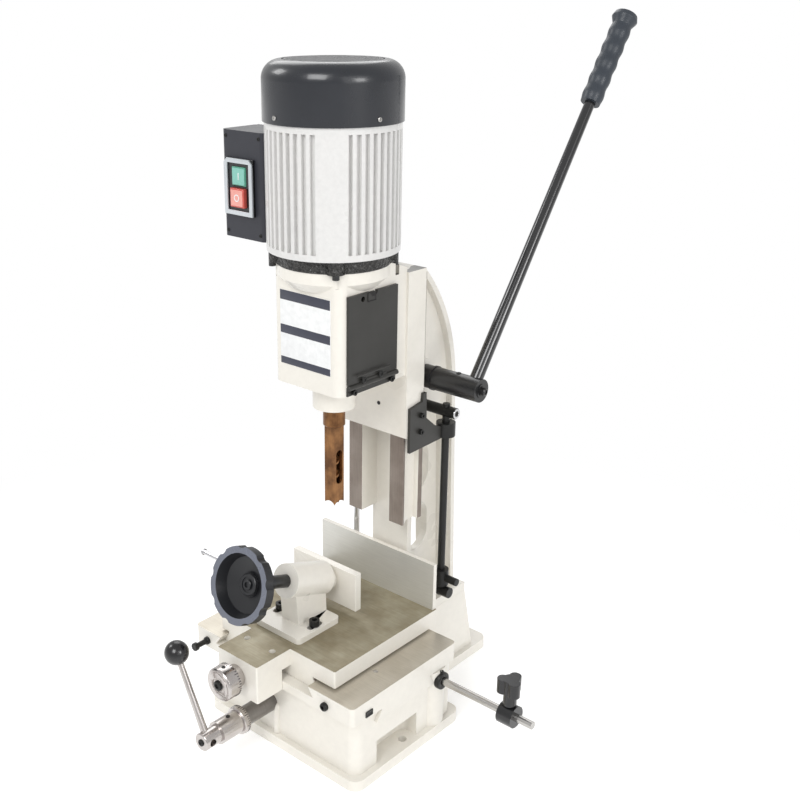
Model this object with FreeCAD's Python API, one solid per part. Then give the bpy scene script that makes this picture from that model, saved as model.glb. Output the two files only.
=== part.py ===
import FreeCAD, Part
import math
import os

# Benchtop mortiser, millimetres, +Z up, front towards -Y.
# Origin: on the underside, midway between the two foot bolt holes, under the chisel.

V = FreeCAD.Vector
RIGHT = V(1, 0, 0)
BACK = V(0, 1, 0)
UP = V(0, 0, 1)

# Fits and clearances
RUN_FIT = 0.05
SLIDE_FIT = 0.1
AIR = 0.3
LOOSE = 1.0
WELD = 0.5

# Base casting: front block
FLANGE_HALF_X = 127.0
FLANGE_FRONT = -101.0
FLANGE_REAR = 98.0
FLANGE_T = 14.0
WALL_INSET = 8.0
BASE_TOP = 90.0
BASE_WALL = 9.0
BASE_DECK = 62.0
BASE_CORNER_R = 14.0
BOLT_X = 112.0
BOLT_R = 5.5
SCALLOP_FRONT = -56.0
SCALLOP_REAR = 18.0
SCALLOP_TOP = 46.0
SCALLOP_R = 11.0
SCALLOP_IN_X = 97.0
RIB_T = 8.0
STOP_BOSS_R = 12.0

# Base casting: X dovetail groove
WAY_Y = -8.0
WAY_HALF = 45.0
WAY_FLOOR = 76.0
WAY_FLARE = 8.0
GIB_T = 4.0
RACK_CHANNEL_Z = 73.5

# Base casting: rear pedestal
PED_HALF_X = 47.0
PED_FRONT = 102.0
PED_REAR = 207.0
PED_FOOT_REAR = 232.0
PED_FLANGE_HALF = 54.0
PED_FLANGE_REAR = 258.0
PED_TOP = 107.0
PED_ROOF = 95.0

# Column casting
FOOT_T = 12.0
FOOT_FRONT = 104.0
COLUMN_TOP = 566.0
NECK_HALF = 29.0
NECK_T = 8.0
RAIL_BOTTOM = 251.0
RAIL_FRONT = 75.0
RAIL_IN = 22.5
RAIL_OUT = 44.0
RAIL_LAND = 3.0
RAIL_WAIST = 37.0
RAIL_WAIST_Y = 90.0
WEB_HALF = 5.0
RIM_HALF = 30.0
RIM_T = 7.0
RIM_REAR_LOW = 204.0
RIM_REAR_HIGH = 193.0
RIM_BEND_Z = 400.0
RIM_MID_Y = 178.0
RIM_MID_Z = 485.0
RIM_TIP_Y = 126.0
DRUM_HALF = 21.0
DRUM_BOTTOM = 372.0
DRUM_CAVITY_HALF = 14.0
HOLE_Y = 150.0
HOLE_Z_LOW = 210.0
HOLE_PITCH = 84.0
HOLE_HALF_H = 34.0
HOLE_HALF_W = 24.0
COLUMN_SCREW_INSET = 12.0
COLUMN_SCREW_R = 4.0
COLUMN_SCREW_HEAD_R = 6.5

# Head drive: pinion, rack and feed lever
DRIVE_MODULE = 3.0
DRIVE_TEETH = 20
DRIVE_Z = 436.0
RACK_LINE_Y = 88.0
RACK_HALF = 10.0
DRIVE_SHAFT_R = 10.0
BUSH_R = 14.0
HUB_BOSS_R = 20.0
HUB_BOSS_END = 38.5
HUB_R = 14.0
HUB_START = 40.0
HUB_END = 123.0
LEVER_X = 110.0
LEVER_TILT = 35.3
LEVER_R_ROOT = 8.0
LEVER_R_TIP = 6.5
GRIP_START = 378.0
LEVER_LENGTH = 500.0
GRIP_R = 13.0
GRIP_BULGES = 5
GRIP_FLARE_R = 16.0
GEAR_BACKLASH = 0.25
DEDENDUM = 1.25
HEAD_TRAVEL = 75.0

# Head casting
HEAD_HALF = 52.0
HEAD_FRONT = -46.0
BLOCK_FRONT = 65.0
BLOCK_REAR = 97.0
BLOCK_HALF = 55.0
BLOCK_BOTTOM = 373.0
HEAD_BOTTOM = 452.0
HEAD_H = 139.0
NECK_H = 16.0
HEAD_TOP = HEAD_BOTTOM + HEAD_H
SHOULDER_Z = HEAD_TOP - NECK_H
HEAD_CORNER_R = 12.0
NECK_RING_R = 63.0
NOSE_R = 25.0
NOSE_BOTTOM = 420.0
CHAMBER_LEFT = -40.0
CHAMBER_FRONT = -32.0
CHAMBER_REAR = 40.0
CHAMBER_BOTTOM = 468.0
CHAMBER_TOP = 562.0
SHAFT_BORE_R = 30.0
SPIGOT_H = 4.0

# Chuck door
DOOR_FRONT = -36.0
DOOR_REAR = 45.0
DOOR_TOP = 566.0
DOOR_PLATE_T = 3.7
HINGE_X = 56.0
HINGE_Z = 463.0
KNUCKLE_R = 3.0
HINGE_PIN_R = 1.5
STRIP_T = 2.0
STRIP_BOTTOM = 453.0
KNUCKLE_END_W = 18.0
NOTCH_R = 6.0
DOOR_HOLE_R = 3.0
DOOR_SCREW_R = 2.0
DOOR_SCREW_HEAD_R = 3.4

# Motor
FLANGE_R = 64.0
MOTOR_FLANGE_T = 15.0
FLANGE_TOP = HEAD_TOP + MOTOR_FLANGE_T
LUG_R = 8.0
LUG_BOLT_CIRCLE = 70.0
MOTOR_R = 74.0
FIN_DEPTH = 5.0
FIN_COUNT = 48
FIN_FILL = 0.42
LAND_ANGLE = -46.9
LAND_HALF_ANGLE = 12.0
MOTOR_H = 138.0
MOTOR_TOP = FLANGE_TOP + MOTOR_H
MOTOR_BORE_R = 60.0
END_WALL_T = 10.0
COVER_R = 76.0
COVER_H = 63.0
COVER_TOP = MOTOR_TOP + COVER_H
COVER_SHOULDER = 20.0
COVER_T = 2.5
GRILLE_R = 52.5
GRILLE_SLOTS = 9
SLOT_W = 4.5
STATOR_BORE_R = 32.5
STATOR_LIFT = 36.0
STATOR_H = 72.0
STATOR_BOTTOM = FLANGE_TOP + STATOR_LIFT
STATOR_TOP = STATOR_BOTTOM + STATOR_H
WINDING_H = 10.0
SHAFT_R = 8.0
BEARING_R = 17.5
BEARING_W = 10.0
FAN_HUB_R = 14.0
FAN_R = 58.0
FAN_LIFT = 10.0
FAN_H = 18.0
FAN_BOTTOM = MOTOR_TOP + FAN_LIFT
FAN_TOP = FAN_BOTTOM + FAN_H
FAN_BLADES = 7

# Chuck and tool
CHUCK_R = 20.0
CHUCK_BOTTOM = 480.0
CHUCK_TOP = 540.0
SHANK_R = 9.5
COLLAR_R = 13.0
COLLAR_BOTTOM = 396.0
COLLAR_TOP = 419.0
CHISEL_SIDE = 16.0
CHISEL_TIP = 296.0
CHISEL_BORE_R = 6.6
BIT_R = 6.2
BIT_CORE_R = 2.6
BIT_PITCH = 17.0
BIT_TIP = 291.0

# Switch box
BOX_LEFT = -146.0
BOX_RIGHT = -78.0
BOX_FRONT = -30.0
BOX_REAR = 25.0
BOX_DROP = 2.0
BOX_H = 122.0
BOX_BOTTOM = FLANGE_TOP - BOX_DROP
BOX_TOP = BOX_BOTTOM + BOX_H
BOX_WALL = 3.0
PAD_HALF_Y = 20.0
PAD_INSET_Z = 18.0
SWITCH_X = -115.0
SWITCH_LIFT = 59.5
SWITCH_Z = BOX_BOTTOM + SWITCH_LIFT
SWITCH_W = 46.0
SWITCH_H = 64.0
SWITCH_LIP = 3.0
SWITCH_DEPTH = 26.0
BUTTON_W = 23.0
BUTTON_H = 22.0
BUTTON_STROKE = 3.5
GLAND_X = -88.0
GLAND_Y = -5.0
GLAND_R = 6.5
GLAND_H = 12.0
LEAD_R = 3.2
LEAD_BEND = 12.0

# Gas strut
STRUT_X = -67.0
STRUT_Y = 115.0
STRUT_ROD_R = 4.0
STRUT_TUBE_R = 9.0
STRUT_BORE_R = 7.0
STRUT_TUBE_BOTTOM = 330.0
STRUT_TUBE_TOP = 440.0
STRUT_GLAND_H = 8.0
STRUT_PISTON_Z = 342.0
STRUT_PISTON_H = 10.0
STRUT_FOOT_Z = 113.0
STRUT_EYE_Z = 462.0
STRUT_EYE_R = 8.0
STRUT_PIN_R = 4.0
STRUT_COLLAR_R = 6.4
BRACKET_T = 4.0

# Depth stop
DEPTH_X = 57.0
DEPTH_Y = 140.0
DEPTH_R = 4.75
DEPTH_BOTTOM = 134.0
DEPTH_TOP = 398.0
DEPTH_TOP_PIN_Z = 388.0
DEPTH_FOOT_PIN_Z = 140.0
DEPTH_PIN_R = 7.0
DEPTH_PIN_OVER = 15.0
DEPTH_SPIGOT_R = 4.9
STOP_PLATE_FRONT = 68.0
STOP_PLATE_LOW = 354.0
STOP_PLATE_HIGH = 410.0
STOP_HORN_FRONT = 91.0
STOP_HORN_REAR = 98.0
STOP_HORN_TOP = 424.0
STOP_CROTCH_Z = 391.0
STOP_ARM_Y = 117.0
STOP_ARM_Z = 376.0
STOP_ARM_STEP = 4.0
STOP_ARM_RUN = 10.0
STOP_TIP_H = 8.0
STOP_SCREW_SPOTS = [(88.0, 397.5), (87.0, 377.0)]
GUIDE_R = 12.0
GUIDE_BOTTOM = 356.0
GUIDE_H = 18.0
STOP_COLLAR_R = 10.0
STOP_COLLAR_BOTTOM = 148.5
STOP_COLLAR_H = 22.0

# Saddle
SADDLE_LEFT = -144.0
SADDLE_RIGHT = 124.0
SADDLE_FRONT = -104.0
SADDLE_REAR = 87.0
SADDLE_BOTTOM = 91.0
SADDLE_TOP = 115.0
SADDLE_CORNER_R = 6.0
CROSS_X = -22.0
CROSS_HALF = 75.0
CROSS_FLARE = 9.0
CROSS_FLOOR = 103.0

# Capstan on the base
CAP_MODULE = 2.0
CAP_TEETH = 24
CAP_X = -21.0
CAP_Z = 54.0
CAP_RACK_FRONT = -45.0
CAP_RACK_REAR = -29.0
CAP_RACK_LEFT = -88.0
CAP_RACK_RIGHT = 24.0
CAP_SHAFT_R = 8.0
SLEEVE_R = 12.0
SLEEVE_FRONT = -140.0
CAP_DIAL_R = 17.0
CAP_DIAL_W = 9.0
CAP_COLLAR_R = 14.0
CAP_COLLAR_FRONT = -180.0
CAP_NOSE_R = 11.0
CAP_FACE = -204.0
CAP_LEVER_Y = -195.0
CAP_LEVER_TILT = 26.6
CAP_LEVER_LENGTH = 107.0
CAP_LEVER_R_ROOT = 4.5
CAP_LEVER_R_TIP = 3.5
BALL_R = 14.5

# Table
TABLE_LEFT = -110.0
TABLE_RIGHT = 84.0
TABLE_FRONT = -90.0
TABLE_REAR = 98.0
TABLE_BOTTOM = 118.0
TABLE_TOP = 140.0
TONGUE_LEFT = -55.0
TONGUE_RIGHT = 12.0
TONGUE_FRONT = -144.5
TONGUE_HOLE_Y = -108.0
TONGUE_HOLE_LEFT = -43.0
TONGUE_HOLE_RIGHT = 0.0
TONGUE_HOLE_R = 4.0
TONGUE_HOLE_DEPTH = 18.0
FEED_Z = 116.0
FEED_R = 6.0
FEED_END = 62.0
FEED_CHANNEL_HALF = 10.0
FEED_CHANNEL_TOP = 125.0
NUT_FRONT = -20.0
NUT_REAR = 5.0
FEED_HUB_R = 20.5
FEED_HUB_FACE = -174.0
FEED_HUB_W = 18.0
FEED_COLLAR_R = 14.0

# Fence
FENCE_FRONT = 92.0
FENCE_LEFT = -108.0
FENCE_RIGHT = 82.0
FENCE_TOP = 203.0
FENCE_SCREW_R = 1.75
FENCE_SCREW_DEPTH = 14.0
FENCE_SCREWS = 3

# Vice on the table: inclined clamp screw
VICE_Y = -62.3
VICE_Z = 206.4
VICE_TILT = 18.6
VICE_BOSS_R = 21.0
VICE_BOSS_LENGTH = 66.0
VICE_PLATE_LEFT = -61.0
VICE_PLATE_RIGHT = 15.0
VICE_PLATE_FRONT = -79.0
VICE_PLATE_REAR = -6.0
VICE_PLATE_T = 8.0
VICE_WEB_HALF = 14.0
VICE_SLOT_R = 4.5
VICE_SLOT_L = 14.0
VICE_SCREW_R = 4.0
VICE_SCREW_HEAD_R = 6.5
VICE_SCREW_INSET = 9.0
CLAMP_R = 8.0
JAW_LEFT = -83.0
JAW_RIGHT = 24.0
JAW_FRONT = 12.0
JAW_REAR = 22.0
JAW_BOTTOM = 149.5
JAW_TOP = 200.0
JAW_BOSS_R = 14.0
WHEEL_R = 45.5
WHEEL_RIM_T = 12.0
WHEEL_FACE_S = 80.0
WHEEL_HUB_R = 14.0
WHEEL_DISH = 18.0
WHEEL_LOBES = 9
WHEEL_SCALLOP_R = 9.0
SLEEVE_END_S = 26.2
CLAMP_SLEEVE_R = 9.5
WHEEL_PIN_R = 3.0
WHEEL_PIN_L = 28.0

# Table stop
TSTOP_Y = 55.0
TSTOP_Z = 77.0
TSTOP_R = 4.75
TSTOP_START = 106.0
TSTOP_END = 260.0
TSTOP_COLLAR_X = 227.0
TSTOP_COLLAR_W = 20.0
TSTOP_COLLAR_R = 13.4
KNOB_Z = 107.0
KNOB_H = 18.0
KNOB_R = 16.0
KNOB_STEM_R = 4.0


def block(x0, x1, y0, y1, z0, z1):
    return Part.makeBox(x1 - x0, y1 - y0, z1 - z0, V(x0, y0, z0))


def bar(start, axis, radius, length):
    return Part.makeCylinder(radius, length, start, axis)


def ring(start, axis, outer, inner, length):
    return bar(start, axis, outer, length).cut(bar(start, axis, inner, length))


def taper(start, axis, r0, r1, length):
    return Part.makeCone(r0, r1, length, start, axis)


def prism(points, axis, low, high):
    """Extrude a closed outline; (u, v) is (Y, Z), (X, Z) or (X, Y) for axis x, y, z."""
    place = {
        "x": lambda u, v: V(low, u, v),
        "y": lambda u, v: V(u, low, v),
        "z": lambda u, v: V(u, v, low),
    }[axis]
    step = {"x": RIGHT, "y": BACK, "z": UP}[axis] * (high - low)
    corners = [place(u, v) for u, v in points]
    return Part.Face(Part.makePolygon(corners + corners[:1])).extrude(step)


def oriented(shape, origin, axis):
    """Move a shape drawn about the Z axis at the origin onto another axis."""
    turn = FreeCAD.Rotation(UP, axis)
    shape.Placement = FreeCAD.Placement(origin, turn)
    return shape


def turned(profile, origin, axis):
    """Revolve (radius, along) points about an axis."""
    corners = [V(r, 0, s) for r, s in profile]
    face = Part.Face(Part.makePolygon(corners + corners[:1]))
    return oriented(face.revolve(V(0, 0, 0), UP, 360), origin, axis)


def upright(edge):
    ends = edge.Vertexes
    if len(ends) != 2:
        return False
    step = ends[1].Point - ends[0].Point
    return abs(step.x) + abs(step.y) < 0.01 * abs(step.z)


def rounded(shape, radius, wanted):
    edges = [e for e in shape.Edges if wanted(e)]
    return shape.makeFillet(radius, edges)


def soft_block(x0, x1, y0, y1, z0, z1, radius):
    return rounded(block(x0, x1, y0, y1, z0, z1), radius, upright)


def slot(x0, x1, y, radius, z0, z1):
    """Round-ended slot along X."""
    body = block(x0, x1, y - radius, y + radius, z0, z1)
    for x in (x0, x1):
        body = body.fuse(bar(V(x, y, z0), UP, radius, z1 - z0))
    return body


def cap_screw(origin, axis, radius, head_radius, length):
    """Socket cap screw: the head's underside lies at the origin, shank along the axis."""
    head_h = 2 * radius
    body = bar(origin, axis, radius, length)
    head = bar(origin - axis * head_h, axis, head_radius, head_h)
    socket = bar(origin - axis * head_h, axis, radius * 0.8, head_h * 0.6)
    return body.fuse(head).cut(socket)


def gear_points(module, teeth, gap_angle):
    """Involute outline, 20 degree pressure angle, with a tooth gap at gap_angle."""
    pressure = math.radians(20)
    pitch_r = module * teeth / 2
    base_r = pitch_r * math.cos(pressure)
    tip_r = pitch_r + module
    root_r = pitch_r - DEDENDUM * module
    half = (math.pi * module / 2 - GEAR_BACKLASH) / 2 / pitch_r
    inv = math.tan(pressure) - pressure
    radii = [root_r, max(base_r, root_r) + 0.01, pitch_r, pitch_r + module / 2, tip_r]
    points = []
    for k in range(teeth):
        centre = gap_angle + (k + 0.5) * 2 * math.pi / teeth
        flank = []
        for r in radii:
            angle = math.acos(min(1.0, base_r / r))
            flank.append((r, half + inv - (math.tan(angle) - angle)))
        for r, a in flank:
            points.append((r * math.cos(centre - a), r * math.sin(centre - a)))
        for r, a in reversed(flank):
            points.append((r * math.cos(centre + a), r * math.sin(centre + a)))
    return points


def rack_points(module, start, end, tooth_at, line, back, side):
    """Rack outline: along runs start to end, teeth point to side (-1 or 1) of the line."""
    pitch = math.pi * module
    slope = math.tan(math.radians(20))
    half = (pitch / 2 - GEAR_BACKLASH) / 2
    tip = half - module * slope
    root = half + DEDENDUM * module * slope
    outline = [(start, back), (start, line - side * DEDENDUM * module)]
    first = math.ceil((start + root - tooth_at) / pitch)
    last = math.floor((end - root - tooth_at) / pitch)
    for k in range(first, last + 1):
        centre = tooth_at + k * pitch
        outline.append((centre - root, line - side * DEDENDUM * module))
        outline.append((centre - tip, line + side * module))
        outline.append((centre + tip, line + side * module))
        outline.append((centre + root, line - side * DEDENDUM * module))
    outline.append((end, line - side * DEDENDUM * module))
    outline.append((end, back))
    return outline


# Derived sizes
WALL_X = FLANGE_HALF_X - WALL_INSET
WALL_FRONT = FLANGE_FRONT + WALL_INSET
WALL_REAR = FLANGE_REAR - WALL_INSET
FOOT_TOP = PED_TOP + FOOT_T
NECK_BACK = FOOT_FRONT + NECK_T
DRIVE_R = DRIVE_MODULE * DRIVE_TEETH / 2
DRIVE_Y = RACK_LINE_Y + DRIVE_R
RAIL_TOP_WALL = RAIL_FRONT - SLIDE_FIT
CAP_R = CAP_MODULE * CAP_TEETH / 2
CAP_RACK_LINE = CAP_Z + CAP_R
CAP_POCKET_TOP = CAP_RACK_LINE + 4 * CAP_MODULE
LEVER_DIR = V(0, math.sin(math.radians(LEVER_TILT)), math.cos(math.radians(LEVER_TILT)))
VICE_AXIS = V(0, math.cos(math.radians(VICE_TILT)), -math.sin(math.radians(VICE_TILT)))
VICE_ORIGIN = V(CROSS_X, VICE_Y, VICE_Z)
FENCE_REAR = TABLE_REAR
DEEP_REAR = SADDLE_FRONT - AIR


def way_points(front, rear, low, high):
    """Dovetail section (Y, Z) of the groove in the base."""
    flare = WAY_FLARE * (high - low) / (BASE_TOP - WAY_FLOOR)
    return [(front, high), (front - flare, low), (rear + flare, low), (rear, high)]


def base_casting():
    flange = soft_block(-FLANGE_HALF_X, FLANGE_HALF_X, FLANGE_FRONT, FLANGE_REAR,
                        0, FLANGE_T, BASE_CORNER_R)
    walls = soft_block(-WALL_X, WALL_X, WALL_FRONT, WALL_REAR, 0, BASE_TOP, BASE_CORNER_R)
    pedestal = prism([(WALL_REAR - BASE_WALL, 0), (PED_FOOT_REAR, 0), (PED_REAR, PED_TOP),
                      (PED_FRONT, PED_TOP), (PED_FRONT, BASE_TOP),
                      (WALL_REAR - BASE_WALL, BASE_TOP)], "x", -PED_HALF_X, PED_HALF_X)
    foot = soft_block(-PED_FLANGE_HALF, PED_FLANGE_HALF, WALL_REAR, PED_FLANGE_REAR,
                      0, FLANGE_T, BASE_CORNER_R)
    body = flange.fuse([walls, pedestal, foot])
    hollow = block(-WALL_X + BASE_WALL, WALL_X - BASE_WALL,
                   WALL_FRONT + BASE_WALL, WALL_REAR - BASE_WALL, 0, BASE_DECK)
    for side in (-1, 1):
        inner = side * (SCALLOP_IN_X - BASE_WALL)
        outer = side * WALL_X
        hollow = hollow.cut(block(min(inner, outer), max(inner, outer),
                                  SCALLOP_FRONT - BASE_WALL, SCALLOP_REAR + BASE_WALL,
                                  0, BASE_DECK))
    rib_front = CAP_RACK_REAR + 2 * BASE_WALL
    hollow = hollow.cut(block(-WALL_X, WALL_X, rib_front, rib_front + RIB_T, 0, BASE_DECK))
    slope = (PED_FOOT_REAR - PED_REAR) / PED_TOP
    pit = prism([(WALL_REAR, 0), (PED_FOOT_REAR - BASE_WALL, 0),
                 (PED_FOOT_REAR - BASE_WALL - slope * PED_ROOF, PED_ROOF),
                 (PED_FRONT + BASE_WALL, PED_ROOF), (PED_FRONT + BASE_WALL, BASE_DECK),
                 (WALL_REAR, BASE_DECK)],
                "x", -PED_HALF_X + BASE_WALL, PED_HALF_X - BASE_WALL)
    body = body.cut([hollow, pit])
    for side in (-1, 1):
        x_in = side * SCALLOP_IN_X
        x_out = side * (FLANGE_HALF_X + LOOSE)
        cut = block(min(x_in, x_out), max(x_in, x_out), SCALLOP_FRONT, SCALLOP_REAR,
                    FLANGE_T, SCALLOP_TOP)
        cut = rounded(cut, SCALLOP_R, upright)
        bolt = bar(V(side * BOLT_X, 0, 0), UP, BOLT_R, FLANGE_T)
        body = body.cut([cut, bolt])
    boss = bar(V(TSTOP_START, TSTOP_Y, FLANGE_T), UP, STOP_BOSS_R + BASE_WALL, BASE_TOP - FLANGE_T)
    boss = boss.common(block(TSTOP_START - BASE_WALL, FLANGE_HALF_X, WALL_FRONT, WALL_REAR,
                             FLANGE_T, BASE_TOP))
    body = body.fuse(boss)
    front = WAY_Y - WAY_HALF
    rear = WAY_Y + WAY_HALF
    groove = prism(way_points(front, rear, WAY_FLOOR, BASE_TOP),
                   "x", -FLANGE_HALF_X, FLANGE_HALF_X)
    groove = groove.fuse(block(-FLANGE_HALF_X, FLANGE_HALF_X, front, rear, BASE_TOP - WELD,
                               BASE_TOP + LOOSE))
    channel = block(-FLANGE_HALF_X, FLANGE_HALF_X, CAP_RACK_FRONT - LOOSE,
                    CAP_RACK_REAR + LOOSE, RACK_CHANNEL_Z, WAY_FLOOR)
    reach = CAP_R + CAP_MODULE + LOOSE
    window = block(CAP_X - reach, CAP_X + reach, CAP_RACK_FRONT - LOOSE,
                   CAP_RACK_REAR + LOOSE, BASE_DECK - LOOSE, WAY_FLOOR)
    bore = bar(V(CAP_X, WALL_FRONT - LOOSE, CAP_Z), BACK, SLEEVE_R, BASE_WALL + 2 * LOOSE)
    inner = bar(V(CAP_X, rib_front - LOOSE, CAP_Z), BACK, CAP_SHAFT_R + RUN_FIT, RIB_T + 2 * LOOSE)
    stop = bar(V(TSTOP_START, TSTOP_Y, TSTOP_Z), RIGHT, TSTOP_R, FLANGE_HALF_X)
    body = body.cut([groove, channel, window, bore, inner, stop])
    for x, y in column_screw_spots():
        body = body.cut(bar(V(x, y, PED_ROOF - LOOSE), UP, COLUMN_SCREW_R, 2 * FOOT_T))
    return body.removeSplitter()


def column_screw_spots():
    rows = (PED_FRONT + BASE_WALL + COLUMN_SCREW_INSET, PED_REAR - BASE_WALL - COLUMN_SCREW_INSET)
    inset = PED_HALF_X - BASE_WALL - COLUMN_SCREW_INSET
    return [(side * inset, y) for y in rows for side in (-1, 1)]


def rim_wire(inset):
    """Rear outline of the column (Y, Z) from foot to top, moved in by inset."""
    low = V(0, RIM_REAR_LOW - inset, FOOT_TOP - WELD)
    bend = V(0, RIM_REAR_HIGH - inset, RIM_BEND_Z)
    mid = V(0, RIM_MID_Y - inset, RIM_MID_Z - inset * 0.4)
    tip = V(0, RIM_TIP_Y - inset * 0.7, COLUMN_TOP - inset * 0.7)
    return [Part.makeLine(low, bend), Part.Arc(bend, mid, tip).toShape(), low, tip]


def profile_solid(inset, front, half):
    """Column side profile from the front plane to the rear outline."""
    line, arc, low, tip = rim_wire(inset)
    top = V(0, front, tip.z)
    bottom = V(0, front, low.z)
    wire = Part.Wire([line, arc, Part.makeLine(tip, top), Part.makeLine(top, bottom),
                      Part.makeLine(bottom, low)])
    solid = Part.Face(wire).extrude(RIGHT * (2 * half))
    solid.translate(RIGHT * -half)
    return solid


def rail_points(side, grow):
    return [(side * (RAIL_OUT + grow), RAIL_FRONT),
            (side * (RAIL_OUT + grow), RAIL_FRONT + RAIL_LAND),
            (side * (RAIL_WAIST + grow), RAIL_WAIST_Y),
            (side * (RAIL_WAIST + grow), FOOT_FRONT)]


def oval(y, z, half_w, half_h):
    straight = half_h - half_w
    body = block(-RIM_HALF, RIM_HALF, y - half_w, y + half_w, z - straight, z + straight)
    for end in (-1, 1):
        body = body.fuse(bar(V(-RIM_HALF, y, z + end * straight), RIGHT, half_w, 2 * RIM_HALF))
    return body


def column_casting():
    foot = block(-PED_HALF_X, PED_HALF_X, FOOT_FRONT, PED_REAR, PED_TOP, FOOT_TOP)
    web = profile_solid(0, FOOT_FRONT, WEB_HALF)
    rim = profile_solid(0, FOOT_FRONT, RIM_HALF).cut(profile_solid(RIM_T, FOOT_FRONT - LOOSE,
                                                                   2 * RIM_HALF))
    drum = profile_solid(0, FOOT_FRONT, DRUM_HALF)
    drum = drum.common(block(-DRUM_HALF, DRUM_HALF, FOOT_FRONT, PED_REAR,
                             DRUM_BOTTOM, COLUMN_TOP))
    neck = block(-NECK_HALF, NECK_HALF, FOOT_FRONT, NECK_BACK, FOOT_TOP - WELD, RAIL_BOTTOM + WELD)
    plate = block(-RAIL_OUT, RAIL_OUT, FOOT_FRONT, NECK_BACK, RAIL_BOTTOM, COLUMN_TOP)
    parts = [web, rim, drum, neck, plate]
    for side in (-1, 1):
        outline = rail_points(side, 0) + [(side * RAIL_IN, FOOT_FRONT), (side * RAIL_IN, RAIL_FRONT)]
        parts.append(prism(outline, "z", RAIL_BOTTOM, COLUMN_TOP))
        parts.append(bar(V(side * DRUM_HALF, DRIVE_Y, DRIVE_Z), RIGHT * side, HUB_BOSS_R,
                         HUB_BOSS_END - DRUM_HALF))
    body = foot.fuse(parts)
    cavity = bar(V(-DRUM_CAVITY_HALF, DRIVE_Y, DRIVE_Z), RIGHT,
                 DRIVE_R + DRIVE_MODULE + 2 * LOOSE, 2 * DRUM_CAVITY_HALF)
    reach = DRIVE_R + DRIVE_MODULE + 2 * LOOSE
    window = block(-DRUM_CAVITY_HALF, DRUM_CAVITY_HALF, FOOT_FRONT - LOOSE, DRIVE_Y,
                   DRIVE_Z - reach, DRIVE_Z + reach)
    bore = bar(V(-HUB_BOSS_END, DRIVE_Y, DRIVE_Z), RIGHT, DRIVE_SHAFT_R + RUN_FIT,
               2 * HUB_BOSS_END)
    body = body.cut([cavity, window, bore])
    for side in (-1, 1):
        body = body.cut(bar(V(side * HUB_BOSS_END, DRIVE_Y, DRIVE_Z), RIGHT * side, HUB_R + LOOSE,
                            RAIL_OUT))
    for k in range(2):
        body = body.cut(oval(HOLE_Y, HOLE_Z_LOW + k * HOLE_PITCH, HOLE_HALF_W, HOLE_HALF_H))
    body = body.cut(bar(V(0, DEPTH_Y, DEPTH_TOP_PIN_Z), RIGHT, DEPTH_SPIGOT_R, DRUM_HALF))
    for x, y in column_screw_spots():
        body = body.cut(bar(V(x, y, PED_TOP), UP, COLUMN_SCREW_R, FOOT_T - LOOSE))
    body = body.cut(bar(V(-PED_HALF_X, STRUT_Y, STRUT_FOOT_Z), RIGHT, STRUT_PIN_R, FOOT_T))
    return body.removeSplitter()


def column_screws():
    return [cap_screw(V(x, y, PED_ROOF), UP, COLUMN_SCREW_R, COLUMN_SCREW_HEAD_R,
                      2 * FOOT_T - 2 * LOOSE) for x, y in column_screw_spots()]


def depth_rod():
    return bar(V(DEPTH_X, DEPTH_Y, DEPTH_BOTTOM), UP, DEPTH_R, DEPTH_TOP - DEPTH_BOTTOM)


def depth_support(start_x, z, spigot):
    """Turned pin along X with a cross hole for the depth rod."""
    length = DEPTH_X + DEPTH_PIN_OVER - start_x
    pin = bar(V(start_x, DEPTH_Y, z), RIGHT, DEPTH_PIN_R, length)
    pin = pin.fuse(bar(V(start_x - spigot, DEPTH_Y, z), RIGHT, DEPTH_SPIGOT_R, spigot))
    hole = bar(V(DEPTH_X, DEPTH_Y, z - 2 * DEPTH_PIN_R), UP, DEPTH_R, 4 * DEPTH_PIN_R)
    return pin.cut(hole)


def rod_supports():
    return [depth_support(DRUM_HALF, DEPTH_TOP_PIN_Z, DRUM_HALF),
            depth_support(WEB_HALF, DEPTH_FOOT_PIN_Z, 0)]


def strut_rod():
    eye = bar(V(STRUT_X - STRUT_PIN_R, STRUT_Y, STRUT_FOOT_Z), RIGHT, STRUT_EYE_R, 2 * STRUT_PIN_R)
    stem = bar(V(STRUT_X, STRUT_Y, STRUT_FOOT_Z), UP, STRUT_ROD_R, STRUT_PISTON_Z - STRUT_FOOT_Z)
    piston = bar(V(STRUT_X, STRUT_Y, STRUT_PISTON_Z), UP, STRUT_BORE_R - RUN_FIT, STRUT_PISTON_H)
    start = -PED_HALF_X + FOOT_T
    end = STRUT_X - 2 * STRUT_PIN_R
    spigot = bar(V(end, STRUT_Y, STRUT_FOOT_Z), RIGHT, STRUT_PIN_R, start - end)
    collar = bar(V(STRUT_X + STRUT_PIN_R, STRUT_Y, STRUT_FOOT_Z), RIGHT, STRUT_COLLAR_R,
                 -PED_HALF_X - STRUT_X - STRUT_PIN_R)
    return eye.fuse([stem, piston, spigot, collar])


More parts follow.
